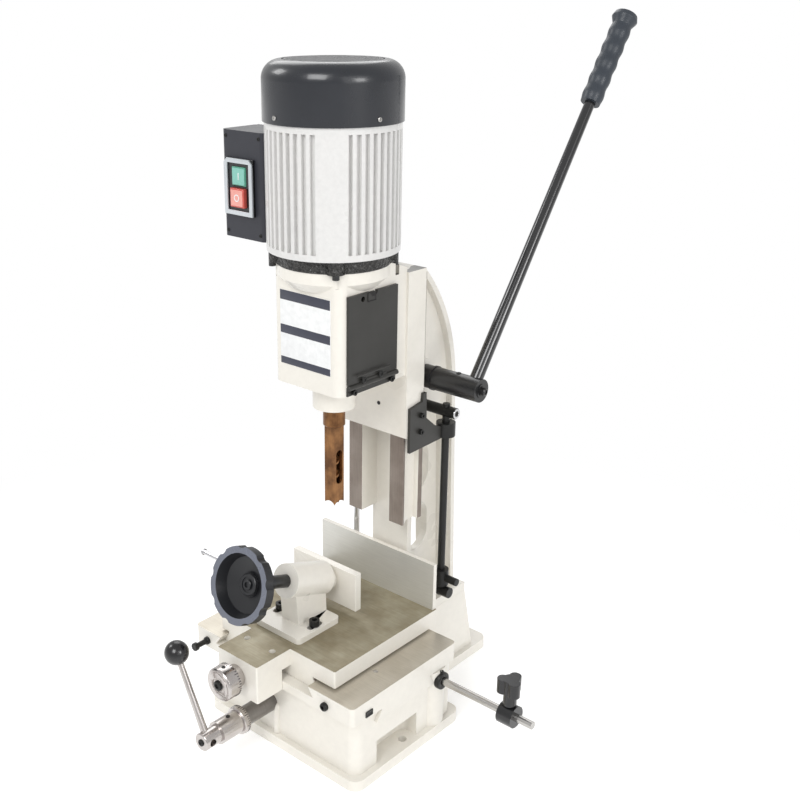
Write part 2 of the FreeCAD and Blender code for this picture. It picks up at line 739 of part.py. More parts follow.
def strut_tube():
    body = bar(V(STRUT_X, STRUT_Y, STRUT_TUBE_BOTTOM), UP, STRUT_TUBE_R,
               STRUT_TUBE_TOP - STRUT_TUBE_BOTTOM)
    bore = bar(V(STRUT_X, STRUT_Y, STRUT_TUBE_BOTTOM + STRUT_GLAND_H), UP, STRUT_BORE_R,
               STRUT_TUBE_TOP - STRUT_TUBE_BOTTOM - 2 * STRUT_GLAND_H)
    pass_hole = bar(V(STRUT_X, STRUT_Y, STRUT_TUBE_BOTTOM - LOOSE), UP, STRUT_ROD_R + RUN_FIT,
                    STRUT_GLAND_H + 2 * LOOSE)
    stem = bar(V(STRUT_X, STRUT_Y, STRUT_TUBE_TOP - WELD), UP, STRUT_ROD_R,
               STRUT_EYE_Z - STRUT_TUBE_TOP)
    eye = bar(V(STRUT_X - STRUT_PIN_R, STRUT_Y, STRUT_EYE_Z), RIGHT, STRUT_EYE_R, 2 * STRUT_PIN_R)
    pin_hole = bar(V(STRUT_X - STRUT_EYE_R, STRUT_Y, STRUT_EYE_Z), RIGHT, STRUT_PIN_R,
                   2 * STRUT_EYE_R)
    return body.fuse([stem, eye]).cut([bore, pass_hole, pin_hole])


def strut_bracket():
    outer = -BLOCK_HALF - BRACKET_T
    low = STRUT_EYE_Z - 3 * STRUT_EYE_R
    high = STRUT_EYE_Z + 2 * STRUT_EYE_R
    tip = STRUT_Y + STRUT_EYE_R
    plate = prism([(BLOCK_FRONT + BRACKET_T, low), (BLOCK_REAR, low),
                   (tip, STRUT_EYE_Z - STRUT_EYE_R), (tip, STRUT_EYE_Z + STRUT_EYE_R),
                   (BLOCK_REAR, high), (BLOCK_FRONT + BRACKET_T, high)], "x", outer, -BLOCK_HALF)
    pin = bar(V(STRUT_X - 2 * STRUT_PIN_R, STRUT_Y, STRUT_EYE_Z), RIGHT, STRUT_PIN_R,
              outer - STRUT_X + 2 * STRUT_PIN_R + WELD)
    body = plate.fuse(pin)
    for z in (STRUT_EYE_Z - 2 * STRUT_EYE_R, STRUT_EYE_Z + STRUT_EYE_R):
        body = body.cut(bar(V(outer, BLOCK_REAR - 2 * STRUT_EYE_R, z), RIGHT, DOOR_SCREW_R,
                            BRACKET_T))
    return body


def stop_bracket():
    outline = [(STOP_PLATE_FRONT, STOP_PLATE_LOW), (STOP_PLATE_FRONT, STOP_PLATE_HIGH),
               (STOP_HORN_FRONT, STOP_PLATE_HIGH + STOP_ARM_STEP),
               (STOP_HORN_FRONT + LOOSE, STOP_HORN_TOP), (STOP_HORN_REAR, STOP_HORN_TOP),
               (STOP_HORN_REAR + LOOSE, STOP_CROTCH_Z), (STOP_ARM_Y, STOP_ARM_Z),
               (STOP_ARM_Y + STOP_ARM_RUN, STOP_ARM_Z - STOP_ARM_STEP),
               (DEPTH_Y, GUIDE_BOTTOM + STOP_TIP_H), (DEPTH_Y, GUIDE_BOTTOM)]
    plate = prism(outline, "x", BLOCK_HALF, BLOCK_HALF + BRACKET_T)
    plate = plate.cut(bar(V(DEPTH_X, DEPTH_Y, GUIDE_BOTTOM - GUIDE_H), UP, GUIDE_R, 3 * GUIDE_H))
    for y, z in STOP_SCREW_SPOTS:
        plate = plate.cut(bar(V(BLOCK_HALF, y, z), RIGHT, DOOR_SCREW_R, BRACKET_T))
    return plate


def small_screws():
    made = [cap_screw(V(HEAD_HALF + STRIP_T, y, hinge_screw_z()), RIGHT * -1, DOOR_SCREW_R,
                      DOOR_SCREW_HEAD_R, 2 * BRACKET_T) for y in hinge_screw_spots()]
    for y, z in STOP_SCREW_SPOTS:
        made.append(cap_screw(V(BLOCK_HALF + BRACKET_T, y, z), RIGHT * -1, DOOR_SCREW_R,
                              DOOR_SCREW_HEAD_R, 2 * BRACKET_T))
    for z in (STRUT_EYE_Z - 2 * STRUT_EYE_R, STRUT_EYE_Z + STRUT_EYE_R):
        made.append(cap_screw(V(-BLOCK_HALF - BRACKET_T, BLOCK_REAR - 2 * STRUT_EYE_R, z), RIGHT,
                              DOOR_SCREW_R, DOOR_SCREW_HEAD_R, 2 * BRACKET_T))
    return made


def guide_collar():
    body = bar(V(DEPTH_X, DEPTH_Y, GUIDE_BOTTOM), UP, GUIDE_R, GUIDE_H)
    return body.cut(bar(V(DEPTH_X, DEPTH_Y, GUIDE_BOTTOM - LOOSE), UP, DEPTH_R + RUN_FIT,
                        GUIDE_H + 2 * LOOSE))


def depth_stop_collar():
    body = bar(V(DEPTH_X, DEPTH_Y, STOP_COLLAR_BOTTOM), UP, STOP_COLLAR_R, STOP_COLLAR_H)
    middle = STOP_COLLAR_BOTTOM + STOP_COLLAR_H / 2
    screw = bar(V(DEPTH_X + DEPTH_R + LOOSE, DEPTH_Y, middle), RIGHT, STOP_COLLAR_R / 2,
                2 * STOP_COLLAR_R)
    body = body.fuse(screw)
    return body.cut(bar(V(DEPTH_X, DEPTH_Y, STOP_COLLAR_BOTTOM - LOOSE), UP, DEPTH_R + RUN_FIT,
                        STOP_COLLAR_H + 2 * LOOSE))


def head_casting():
    box = block(-HEAD_HALF, HEAD_HALF, HEAD_FRONT, BLOCK_FRONT + WELD, HEAD_BOTTOM, HEAD_TOP)
    box = rounded(box, HEAD_CORNER_R, lambda e: upright(e) and e.BoundBox.YMax < 0)
    spread = SHOULDER_Z - HEAD_BOTTOM
    neck_low = DOOR_TOP + LOOSE
    neck_high = neck_low + NECK_RING_R - HEAD_HALF
    limit = turned([(0, HEAD_BOTTOM), (2 * spread, HEAD_BOTTOM),
                    (2 * spread, HEAD_TOP - (2 * spread - NECK_RING_R) * 0.5),
                    (NECK_RING_R, HEAD_TOP), (0, HEAD_TOP)], V(0, 0, 0), UP)
    box = box.common(limit)
    neck = turned([(0, neck_low), (HEAD_HALF, neck_low), (NECK_RING_R, neck_high),
                   (NECK_RING_R, HEAD_TOP), (0, HEAD_TOP)],
                  V(0, 0, 0), UP)
    inner = []
    for side, gib in ((1, 0), (-1, GIB_T)):
        flank = rail_points(side, SLIDE_FIT + gib)
        flank[0] = (flank[0][0], RAIL_TOP_WALL)
        flank[3] = (flank[3][0], BLOCK_REAR)
        inner.append(flank)
    outline = [(-BLOCK_HALF, BLOCK_FRONT), (BLOCK_HALF, BLOCK_FRONT), (BLOCK_HALF, BLOCK_REAR)]
    outline += list(reversed(inner[0])) + inner[1] + [(-BLOCK_HALF, BLOCK_REAR)]
    slide = prism(outline, "z", BLOCK_BOTTOM, SHOULDER_Z)
    nose = bar(V(0, 0, NOSE_BOTTOM), UP, NOSE_R, HEAD_BOTTOM - NOSE_BOTTOM + WELD)
    body = box.fuse([neck, slide, nose])
    chamber = block(CHAMBER_LEFT, HEAD_HALF + LOOSE, CHAMBER_FRONT, CHAMBER_REAR,
                    CHAMBER_BOTTOM, CHAMBER_TOP)
    shaft = bar(V(0, 0, CHAMBER_TOP - LOOSE), UP, SHAFT_BORE_R, HEAD_TOP - CHAMBER_TOP + 2 * LOOSE)
    seat = bar(V(0, 0, NOSE_BOTTOM), UP, SHANK_R, CHAMBER_BOTTOM - NOSE_BOTTOM)
    body = body.cut([chamber, shaft, seat])
    for p in lug_spots(LUG_BOLT_CIRCLE - 2 * LOOSE):
        body = body.cut(bar(p + UP * SHOULDER_Z, UP, COLUMN_SCREW_R + LOOSE, HEAD_TOP - SHOULDER_Z))
    for y, z in STOP_SCREW_SPOTS:
        body = body.cut(bar(V(BLOCK_HALF - BRACKET_T, y, z), RIGHT, DOOR_SCREW_R, BRACKET_T))
    for z in (STRUT_EYE_Z - 2 * STRUT_EYE_R, STRUT_EYE_Z + STRUT_EYE_R):
        body = body.cut(bar(V(-BLOCK_HALF, BLOCK_REAR - 2 * STRUT_EYE_R, z), RIGHT, DOOR_SCREW_R,
                            BRACKET_T))
    for y in hinge_screw_spots():
        body = body.cut(bar(V(HEAD_HALF, y, hinge_screw_z()), RIGHT * -1, DOOR_SCREW_R,
                            2 * BRACKET_T))
    return body.removeSplitter()


def gib_outline():
    near = rail_points(-1, RUN_FIT)
    far = rail_points(-1, SLIDE_FIT + GIB_T)
    near[3] = (near[3][0], BLOCK_REAR)
    far[3] = (far[3][0], BLOCK_REAR)
    return near + list(reversed(far))


def head_gib():
    return prism(gib_outline(), "z", BLOCK_BOTTOM + LOOSE, SHOULDER_Z - LOOSE)


def head_rack():
    low = DRIVE_Z - 3 * DRIVE_MODULE * math.pi
    high = DRIVE_Z + HEAD_TRAVEL + 3 * DRIVE_MODULE * math.pi
    points = rack_points(DRIVE_MODULE, low, high, DRIVE_Z, RACK_LINE_Y, RAIL_TOP_WALL, 1)
    return prism([(v, u) for u, v in points], "x", -RACK_HALF, RACK_HALF)


def drive_pinion():
    points = gear_points(DRIVE_MODULE, DRIVE_TEETH, math.pi)
    gear = prism(points, "x", -RACK_HALF, RACK_HALF)
    gear.translate(V(0, DRIVE_Y, DRIVE_Z))
    shaft = bar(V(-HUB_BOSS_END, DRIVE_Y, DRIVE_Z), RIGHT, DRIVE_SHAFT_R, HUB_BOSS_END + HUB_START)
    tail = bar(V(-HUB_START - BRACKET_T, DRIVE_Y, DRIVE_Z), RIGHT, BUSH_R,
               BRACKET_T + HUB_START - HUB_BOSS_END - AIR)
    tail = tail.fuse(bar(V(-HUB_START, DRIVE_Y, DRIVE_Z), RIGHT, DRIVE_SHAFT_R, HUB_START))
    return gear.fuse([shaft, tail])


def lever_point(s):
    return V(LEVER_X, DRIVE_Y, DRIVE_Z) + LEVER_DIR * s


def lever_hub():
    hub = bar(V(HUB_START, DRIVE_Y, DRIVE_Z), RIGHT, HUB_R, HUB_END - HUB_START)
    cap = turned([(0, 0), (HUB_R * 0.6, 0), (HUB_R * 0.6, LOOSE), (0, LOOSE)],
                 V(HUB_END, DRIVE_Y, DRIVE_Z), RIGHT)
    step = ring(V(HUB_START + HUB_R, DRIVE_Y, DRIVE_Z), RIGHT, HUB_R + LOOSE, HUB_R - LOOSE,
                LOOSE * 3)
    socket = bar(lever_point(0), LEVER_DIR, LEVER_R_ROOT, HUB_R + 2 * LOOSE)
    return hub.fuse([cap, step]).cut(socket)


def lever_rod():
    lower = bar(lever_point(0), LEVER_DIR, LEVER_R_ROOT, HUB_R + LOOSE)
    upper = taper(lever_point(HUB_R + LOOSE), LEVER_DIR, LEVER_R_ROOT, LEVER_R_TIP,
                  GRIP_START - HUB_R - LOOSE)
    core = bar(lever_point(GRIP_START), LEVER_DIR, LEVER_R_TIP, LEVER_LENGTH - GRIP_START - HUB_R)
    return lower.fuse([upper, core])


def lever_grip():
    span = LEVER_LENGTH - GRIP_START
    steps = 6 * GRIP_BULGES
    points = []
    for k in range(steps + 1):
        s = span * 0.88 * k / steps
        wave = math.cos(2 * math.pi * k / 6)
        points.append(V(GRIP_R - LOOSE + LOOSE * 1.2 * (1 - wave) / 2, 0, s))
    curve = Part.BSplineCurve()
    curve.interpolate(points)
    flare = V(GRIP_FLARE_R, 0, span * 0.95)
    end = V(GRIP_FLARE_R - 2 * LOOSE, 0, span)
    edges = [curve.toShape(), Part.makeLine(points[-1], flare), Part.makeLine(flare, end),
             Part.makeLine(end, V(0, 0, span)), Part.makeLine(V(0, 0, span), V(0, 0, 0)),
             Part.makeLine(V(0, 0, 0), points[0])]
    body = Part.Face(Part.Wire(edges)).revolve(V(0, 0, 0), UP, 360)
    body = body.cut(bar(V(0, 0, 0), UP, LEVER_R_TIP, span - HUB_R))
    return oriented(body, lever_point(GRIP_START), LEVER_DIR)


def hinge_screw_spots():
    middle = (DOOR_FRONT + DOOR_REAR) / 2
    offset = (DOOR_REAR - DOOR_FRONT) / 2 - KNUCKLE_END_W / 2
    return [middle - offset, middle + offset]


def hinge_screw_z():
    return (STRIP_BOTTOM + HINGE_Z - KNUCKLE_R) / 2


def door_hinge():
    strip = block(HEAD_HALF, HEAD_HALF + STRIP_T, DOOR_FRONT, DOOR_REAR, STRIP_BOTTOM, HINGE_Z)
    body = strip
    for y0, y1 in ((DOOR_FRONT, DOOR_FRONT + KNUCKLE_END_W), (DOOR_REAR - KNUCKLE_END_W, DOOR_REAR)):
        body = body.fuse(bar(V(HINGE_X, y0, HINGE_Z), BACK, KNUCKLE_R, y1 - y0))
    body = body.fuse(bar(V(HINGE_X, DOOR_FRONT, HINGE_Z), BACK, HINGE_PIN_R,
                         DOOR_REAR - DOOR_FRONT))
    middle = bar(V(HINGE_X, DOOR_FRONT + KNUCKLE_END_W, HINGE_Z), BACK, KNUCKLE_R + 2 * AIR,
                 DOOR_REAR - DOOR_FRONT - 2 * KNUCKLE_END_W)
    pin = bar(V(HINGE_X, DOOR_FRONT, HINGE_Z), BACK, HINGE_PIN_R, DOOR_REAR - DOOR_FRONT)
    body = body.cut(middle.cut(pin))
    for y in hinge_screw_spots():
        body = body.cut(bar(V(HEAD_HALF, y, hinge_screw_z()), RIGHT, DOOR_SCREW_R, STRIP_T))
    return body


def chuck_door():
    low = HINGE_Z + KNUCKLE_R + AIR
    inner_x = HEAD_HALF + AIR
    plate = block(inner_x, inner_x + DOOR_PLATE_T, DOOR_FRONT, DOOR_REAR, low, DOOR_TOP)
    k0 = DOOR_FRONT + KNUCKLE_END_W + AIR
    k1 = DOOR_REAR - KNUCKLE_END_W - AIR
    knuckle = bar(V(HINGE_X, k0, HINGE_Z), BACK, KNUCKLE_R, k1 - k0)
    tongue = block(HINGE_X - 2 * LOOSE, HINGE_X + LOOSE, k0, k1, HINGE_Z, low + 2 * LOOSE)
    outer_x = inner_x + DOOR_PLATE_T
    tongue = tongue.common(block(HEAD_HALF, outer_x + LOOSE, k0, k1, HINGE_Z, DOOR_TOP))
    body = plate.fuse([knuckle, tongue])
    pin = bar(V(HINGE_X, k0 - LOOSE, HINGE_Z), BACK, HINGE_PIN_R + RUN_FIT, k1 - k0 + 2 * LOOSE)
    middle = (DOOR_FRONT + DOOR_REAR) / 2
    notch = bar(V(HEAD_HALF, middle, DOOR_TOP), RIGHT, NOTCH_R, 2 * DOOR_PLATE_T)
    hole = bar(V(HEAD_HALF, middle - 3 * NOTCH_R, DOOR_TOP - NOTCH_R), RIGHT, DOOR_HOLE_R,
               2 * DOOR_PLATE_T)
    return body.cut([pin, notch, hole])


def lug_spots(radius):
    made = []
    for k in range(4):
        a = math.radians(45 + 90 * k)
        made.append(V(radius * math.cos(a), radius * math.sin(a), 0))
    return made


def motor_flange():
    body = bar(V(0, 0, HEAD_TOP), UP, FLANGE_R, FLANGE_TOP - HEAD_TOP)
    body = body.fuse(bar(V(0, 0, HEAD_TOP - SPIGOT_H), UP, SHAFT_BORE_R, 2 * SPIGOT_H))
    for p in lug_spots(LUG_BOLT_CIRCLE - LUG_R):
        lug = bar(p + UP * HEAD_TOP, UP, LUG_R + 2 * LOOSE, FLANGE_TOP - HEAD_TOP)
        body = body.fuse(lug)
    for p in lug_spots(LUG_BOLT_CIRCLE - 2 * LOOSE):
        body = body.cut(bar(p + UP * HEAD_TOP, UP, COLUMN_SCREW_R * 0.6, FLANGE_TOP - HEAD_TOP))
    seat = bar(V(0, 0, FLANGE_TOP - BEARING_W), UP, BEARING_R, BEARING_W)
    hole = bar(V(0, 0, HEAD_TOP - SPIGOT_H), UP, SHAFT_R + LOOSE, FLANGE_TOP)
    return body.cut([seat, hole])


def flange_bolts():
    return [cap_screw(p + UP * HEAD_TOP, UP, COLUMN_SCREW_R * 0.6, COLUMN_SCREW_R,
                      FLANGE_TOP - HEAD_TOP + RIM_T)
            for p in lug_spots(LUG_BOLT_CIRCLE - 2 * LOOSE)]


def fin_outline():
    root = MOTOR_R - FIN_DEPTH
    step = 2 * math.pi / FIN_COUNT
    points = []
    for k in range(FIN_COUNT):
        a = k * step
        w = step * FIN_FILL / 2
        for r, angle in ((root, a - w * 1.3), (MOTOR_R, a - w), (MOTOR_R, a + w), (root, a + w * 1.3)):
            points.append((r * math.cos(angle), r * math.sin(angle)))
    return points


def motor_housing():
    body = prism(fin_outline(), "z", FLANGE_TOP, MOTOR_TOP)
    spread = math.radians(LAND_HALF_ANGLE)
    facing = math.radians(LAND_ANGLE)
    reach = 2 * MOTOR_R
    wedge = prism([(0, 0), (reach * math.cos(facing - spread), reach * math.sin(facing - spread)),
                   (reach * math.cos(facing + spread), reach * math.sin(facing + spread))],
                  "z", FLANGE_TOP, MOTOR_TOP)
    land = bar(V(0, 0, FLANGE_TOP), UP, MOTOR_R, MOTOR_TOP - FLANGE_TOP).common(wedge)
    pad = block(BOX_RIGHT, -MOTOR_BORE_R, -PAD_HALF_Y, PAD_HALF_Y, BOX_BOTTOM + PAD_INSET_Z,
                BOX_TOP - PAD_INSET_Z)
    rims = [bar(V(0, 0, z), UP, MOTOR_R, RIM_T) for z in (FLANGE_TOP, MOTOR_TOP - RIM_T)]
    body = body.fuse([land, pad] + rims)
    bore = bar(V(0, 0, FLANGE_TOP), UP, MOTOR_BORE_R, MOTOR_TOP - FLANGE_TOP - END_WALL_T)
    seat = bar(V(0, 0, MOTOR_TOP - END_WALL_T), UP, BEARING_R, END_WALL_T)
    body = body.cut([bore, seat])
    for p in lug_spots(LUG_BOLT_CIRCLE - 2 * LOOSE):
        body = body.cut(bar(p + UP * FLANGE_TOP, UP, COLUMN_SCREW_R * 0.6, RIM_T))
    return body.removeSplitter()


def stator():
    outer = MOTOR_BORE_R
    mid = (STATOR_BORE_R + outer) / 2
    low = STATOR_BOTTOM
    high = STATOR_TOP
    profile = [(STATOR_BORE_R, low), (STATOR_BORE_R + LOOSE, low - WINDING_H), (mid, low - WINDING_H),
               (mid + LOOSE * 3, low), (outer, low), (outer, high), (mid + LOOSE * 3, high),
               (mid, high + WINDING_H), (STATOR_BORE_R + LOOSE, high + WINDING_H),
               (STATOR_BORE_R, high)]
    return turned(profile, V(0, 0, 0), UP)


def motor_bearings():
    made = []
    for z in (FLANGE_TOP - BEARING_W, MOTOR_TOP - BEARING_W):
        made.append(ring(V(0, 0, z), UP, BEARING_R, SHAFT_R + RUN_FIT, BEARING_W))
    return made


def motor_rotor():
    shaft = bar(V(0, 0, CHUCK_TOP - 2 * BEARING_W), UP, SHAFT_R, FAN_TOP - CHUCK_TOP + 2 * BEARING_W)
    core = bar(V(0, 0, STATOR_BOTTOM), UP, STATOR_BORE_R - AIR * 2, STATOR_TOP - STATOR_BOTTOM)
    return shaft.fuse(core)


def cooling_fan():
    hub = bar(V(0, 0, FAN_BOTTOM), UP, FAN_HUB_R, FAN_TOP - FAN_BOTTOM)
    body = hub
    for k in range(FAN_BLADES):
        blade = block(FAN_HUB_R - LOOSE * 2, FAN_R, -LOOSE, LOOSE, FAN_BOTTOM, FAN_TOP)
        blade.rotate(V(0, 0, 0), UP, 360 * k / FAN_BLADES)
        body = body.fuse(blade)
    disc = bar(V(0, 0, FAN_BOTTOM), UP, FAN_R * 0.8, 2 * LOOSE)
    return body.fuse(disc).cut(bar(V(0, 0, FAN_BOTTOM), UP, SHAFT_R, FAN_TOP - FAN_BOTTOM))


def fan_cover():
    outer = bar(V(0, 0, MOTOR_TOP), UP, COVER_R, COVER_TOP - MOTOR_TOP)
    top_edge = lambda e: abs(e.BoundBox.ZMin - COVER_TOP) < AIR and len(e.Vertexes) == 1
    outer = rounded(outer, COVER_SHOULDER, top_edge)
    inner = bar(V(0, 0, MOTOR_TOP), UP, COVER_R - COVER_T, COVER_TOP - COVER_T - MOTOR_TOP)
    low_edge = lambda e: abs(e.BoundBox.ZMin - (COVER_TOP - COVER_T)) < AIR and len(e.Vertexes) == 1
    inner = rounded(inner, COVER_SHOULDER - COVER_T, low_edge)
    body = outer.cut(inner)
    seat = ring(V(0, 0, MOTOR_TOP), UP, COVER_R - COVER_T + WELD, MOTOR_BORE_R, COVER_T)
    body = body.fuse(seat)
    slots = []
    for k in range(GRILLE_SLOTS):
        offset = (k - (GRILLE_SLOTS - 1) / 2) * 2 * GRILLE_R / GRILLE_SLOTS
        slots.append(block(-GRILLE_R, GRILLE_R, offset - SLOT_W / 2, offset + SLOT_W / 2,
                           COVER_TOP - 2 * COVER_T, COVER_TOP + LOOSE))
    grille = slots[0].fuse(slots[1:])
    grille.rotate(V(0, 0, 0), UP, 45)
    grille = grille.common(bar(V(0, 0, COVER_TOP - 2 * COVER_T), UP, GRILLE_R - LOOSE * 2,
                               3 * COVER_T))
    groove = ring(V(0, 0, COVER_TOP - LOOSE), UP, GRILLE_R + 2 * LOOSE, GRILLE_R, 2 * LOOSE)
    entry = bar(V(-COVER_R - LOOSE, GLAND_Y, lead_top()), RIGHT, LEAD_R, 4 * LOOSE + COVER_T)
    return body.cut([grille, groove, entry])


def lead_top():
    return BOX_TOP + GLAND_H + 2 * LOOSE + LEAD_BEND


def cable_glands():
    return [ring(V(GLAND_X, GLAND_Y, BOX_TOP - BOX_WALL), UP, GLAND_R, LEAD_R, GLAND_H + BOX_WALL)]


def motor_lead():
    start = V(GLAND_X, GLAND_Y, BOX_TOP - BOX_WALL - LEAD_R)
    bend = V(GLAND_X, GLAND_Y, lead_top() - LEAD_BEND)
    past = V(GLAND_X + LEAD_BEND, GLAND_Y, lead_top())
    c = math.cos(math.radians(45))
    mid = V(GLAND_X + LEAD_BEND * (1 - c), GLAND_Y, bend.z + LEAD_BEND * c)
    end = past + RIGHT * (2 * COVER_T)
    path = Part.Wire([Part.LineSegment(start, bend).toShape(), Part.Arc(bend, mid, past).toShape(),
                      Part.LineSegment(past, end).toShape()])
    section = Part.Wire(Part.makeCircle(LEAD_R, start, UP))
    return path.makePipeShell([section], True, False)


def hollow_chisel():
    half = CHISEL_SIDE / 2
    blade = block(-half, half, -half, half, CHISEL_TIP, COLLAR_BOTTOM + WELD)
    collar = turned([(0, COLLAR_BOTTOM), (COLLAR_R - LOOSE, COLLAR_BOTTOM),
                     (COLLAR_R, COLLAR_BOTTOM + LOOSE), (COLLAR_R, COLLAR_TOP - LOOSE),
                     (COLLAR_R - LOOSE, NOSE_BOTTOM), (0, NOSE_BOTTOM)], V(0, 0, 0), UP)
    shank = bar(V(0, 0, NOSE_BOTTOM - WELD), UP, SHANK_R, CHAMBER_BOTTOM - NOSE_BOTTOM + WELD)
    body = blade.fuse([collar, shank])
    bore = bar(V(0, 0, CHISEL_TIP), UP, CHISEL_BORE_R, CHAMBER_BOTTOM - CHISEL_TIP)
    points = taper(V(0, 0, CHISEL_TIP - LOOSE), UP, CHISEL_SIDE * 0.85, 0, CHISEL_SIDE * 0.85)
    window = slot_up(V(0, 0, CHISEL_TIP + 2 * CHISEL_SIDE), CHISEL_BORE_R * 0.8, 2 * CHISEL_SIDE)
    return body.cut([bore, points, window])


def slot_up(origin, radius, length):
    """Chip window through the chisel's right face."""
    body = block(0, COLLAR_R, -radius, radius, origin.z, origin.z + length)
    for z in (origin.z, origin.z + length):
        body = body.fuse(bar(V(0, 0, z), RIGHT, radius, COLLAR_R))
    return body


def auger_bit():
    top = CHUCK_BOTTOM + 2 * BEARING_W
    plain = bar(V(0, 0, COLLAR_BOTTOM), UP, BIT_R, top - COLLAR_BOTTOM)
    core = bar(V(0, 0, BIT_TIP + BIT_R), UP, BIT_CORE_R, COLLAR_BOTTOM - BIT_TIP - BIT_R + LOOSE)
    tip = taper(V(0, 0, BIT_TIP), UP, 0, BIT_CORE_R, BIT_R)
    turns_h = COLLAR_BOTTOM - BIT_TIP - BIT_R
    helix = Part.makeHelix(BIT_PITCH, turns_h, BIT_R)
    flight = Part.makePolygon([V(BIT_R, 0, 0), V(BIT_CORE_R - WELD, 0, 0),
                               V(BIT_CORE_R - WELD, 0, 2.4), V(BIT_R, 0, 2.4), V(BIT_R, 0, 0)])
    spiral = Part.Wire(helix).makePipeShell([flight], True, True)
    spiral.translate(UP * (BIT_TIP + BIT_R))
    return plain.fuse([core, tip, spiral])


def drill_chuck():
    shell = turned([(0, CHUCK_BOTTOM), (CHUCK_R * 0.6, CHUCK_BOTTOM),
                    (CHUCK_R, CHUCK_BOTTOM + CHUCK_R * 0.8), (CHUCK_R, CHUCK_TOP - 3 * LOOSE),
                    (CHUCK_R - 3 * LOOSE, CHUCK_TOP), (0, CHUCK_TOP)], V(0, 0, 0), UP)
    bit = bar(V(0, 0, CHUCK_BOTTOM), UP, BIT_R, 2 * BEARING_W)
    shaft = bar(V(0, 0, CHUCK_TOP - 2 * BEARING_W), UP, SHAFT_R, 2 * BEARING_W)
    grooves = []
    for k in range(12):
        flute = bar(V(CHUCK_R + LOOSE, 0, CHUCK_TOP - CHUCK_R), UP, 2 * LOOSE, CHUCK_R * 0.7)
        flute.rotate(V(0, 0, 0), UP, 30 * k)
        grooves.append(flute)
    return shell.cut([bit, shaft] + grooves)


def switch_box():
    body = block(BOX_LEFT, BOX_RIGHT, BOX_FRONT, BOX_REAR, BOX_BOTTOM, BOX_TOP)
    body = rounded(body, 2 * BOX_WALL, upright)
    inner = block(BOX_LEFT + BOX_WALL, BOX_RIGHT - BOX_WALL, BOX_FRONT + BOX_WALL,
                  BOX_REAR, BOX_BOTTOM + BOX_WALL, BOX_TOP - BOX_WALL)
    panel = block(*switch_window())
    gland = bar(V(GLAND_X, GLAND_Y, BOX_TOP - BOX_WALL), UP, GLAND_R, BOX_WALL)
    return body.cut([inner, panel, gland])


def switch_window():
    half_w = SWITCH_W / 2 - SWITCH_LIP
    half_h = SWITCH_H / 2 - SWITCH_LIP
    return (SWITCH_X - half_w, SWITCH_X + half_w, BOX_FRONT, BOX_FRONT + SWITCH_DEPTH,
            SWITCH_Z - half_h, SWITCH_Z + half_h)


def switch_box_lid():
    plate = block(BOX_LEFT, BOX_RIGHT, BOX_REAR, BOX_REAR + BOX_WALL, BOX_BOTTOM, BOX_TOP)
    plug = block(BOX_LEFT + BOX_WALL + AIR, BOX_RIGHT - BOX_WALL - AIR, BOX_REAR - BOX_WALL,
                 BOX_REAR, BOX_BOTTOM + BOX_WALL + AIR, BOX_TOP - BOX_WALL - AIR)
    return plate.fuse(plug)


def button_frame(upper, inset):
    """Button opening (x0, x1, z0, z1) in the switch module."""
    half_w = BUTTON_W / 2 - inset
    z0 = SWITCH_Z + LOOSE if upper else SWITCH_Z - LOOSE - BUTTON_H
    x = SWITCH_X
    return x - half_w, x + half_w, z0 + inset, z0 + BUTTON_H - inset


def switch_module():
    plate = block(SWITCH_X - SWITCH_W / 2, SWITCH_X + SWITCH_W / 2, BOX_FRONT - SWITCH_LIP,
                  BOX_FRONT, SWITCH_Z - SWITCH_H / 2, SWITCH_Z + SWITCH_H / 2)
    body = plate.fuse(block(*switch_window()))
    for upper in (True, False):
        x0, x1, z0, z1 = button_frame(upper, 0)
        body = body.cut(block(x0, x1, BOX_FRONT - SWITCH_LIP, BOX_FRONT + 4 * BUTTON_STROKE, z0, z1))
    return body


def button(upper, proud):
    x0, x1, z0, z1 = button_frame(upper, AIR)
    face = BOX_FRONT - SWITCH_LIP - proud
    body = block(x0, x1, face, BOX_FRONT + 2 * BUTTON_STROKE, z0, z1)
    front = lambda e: abs(e.BoundBox.YMin - face) < AIR / 10 and abs(e.BoundBox.YMax - face) < AIR / 10
    return rounded(body, LOOSE, front)


def start_button():
    return button(True, LOOSE)


def stop_button():
    return button(False, BUTTON_STROKE + LOOSE)


def capstan_sleeve():
    return ring(V(CAP_X, SLEEVE_FRONT, CAP_Z), BACK, SLEEVE_R, CAP_SHAFT_R + RUN_FIT,
                WALL_FRONT + BASE_WALL - SLEEVE_FRONT)


def table_stop_rod():
    return bar(V(TSTOP_START, TSTOP_Y, TSTOP_Z), RIGHT, TSTOP_R, TSTOP_END - TSTOP_START)


def table_stop_collar():
    start = TSTOP_COLLAR_X - TSTOP_COLLAR_W / 2
    body = ring(V(start, TSTOP_Y, TSTOP_Z), RIGHT, TSTOP_COLLAR_R, TSTOP_R + RUN_FIT,
                TSTOP_COLLAR_W)
    hole = bar(V(TSTOP_COLLAR_X, TSTOP_Y, TSTOP_Z), UP, KNOB_STEM_R + RUN_FIT, 2 * TSTOP_COLLAR_R)
    return body.cut(hole)


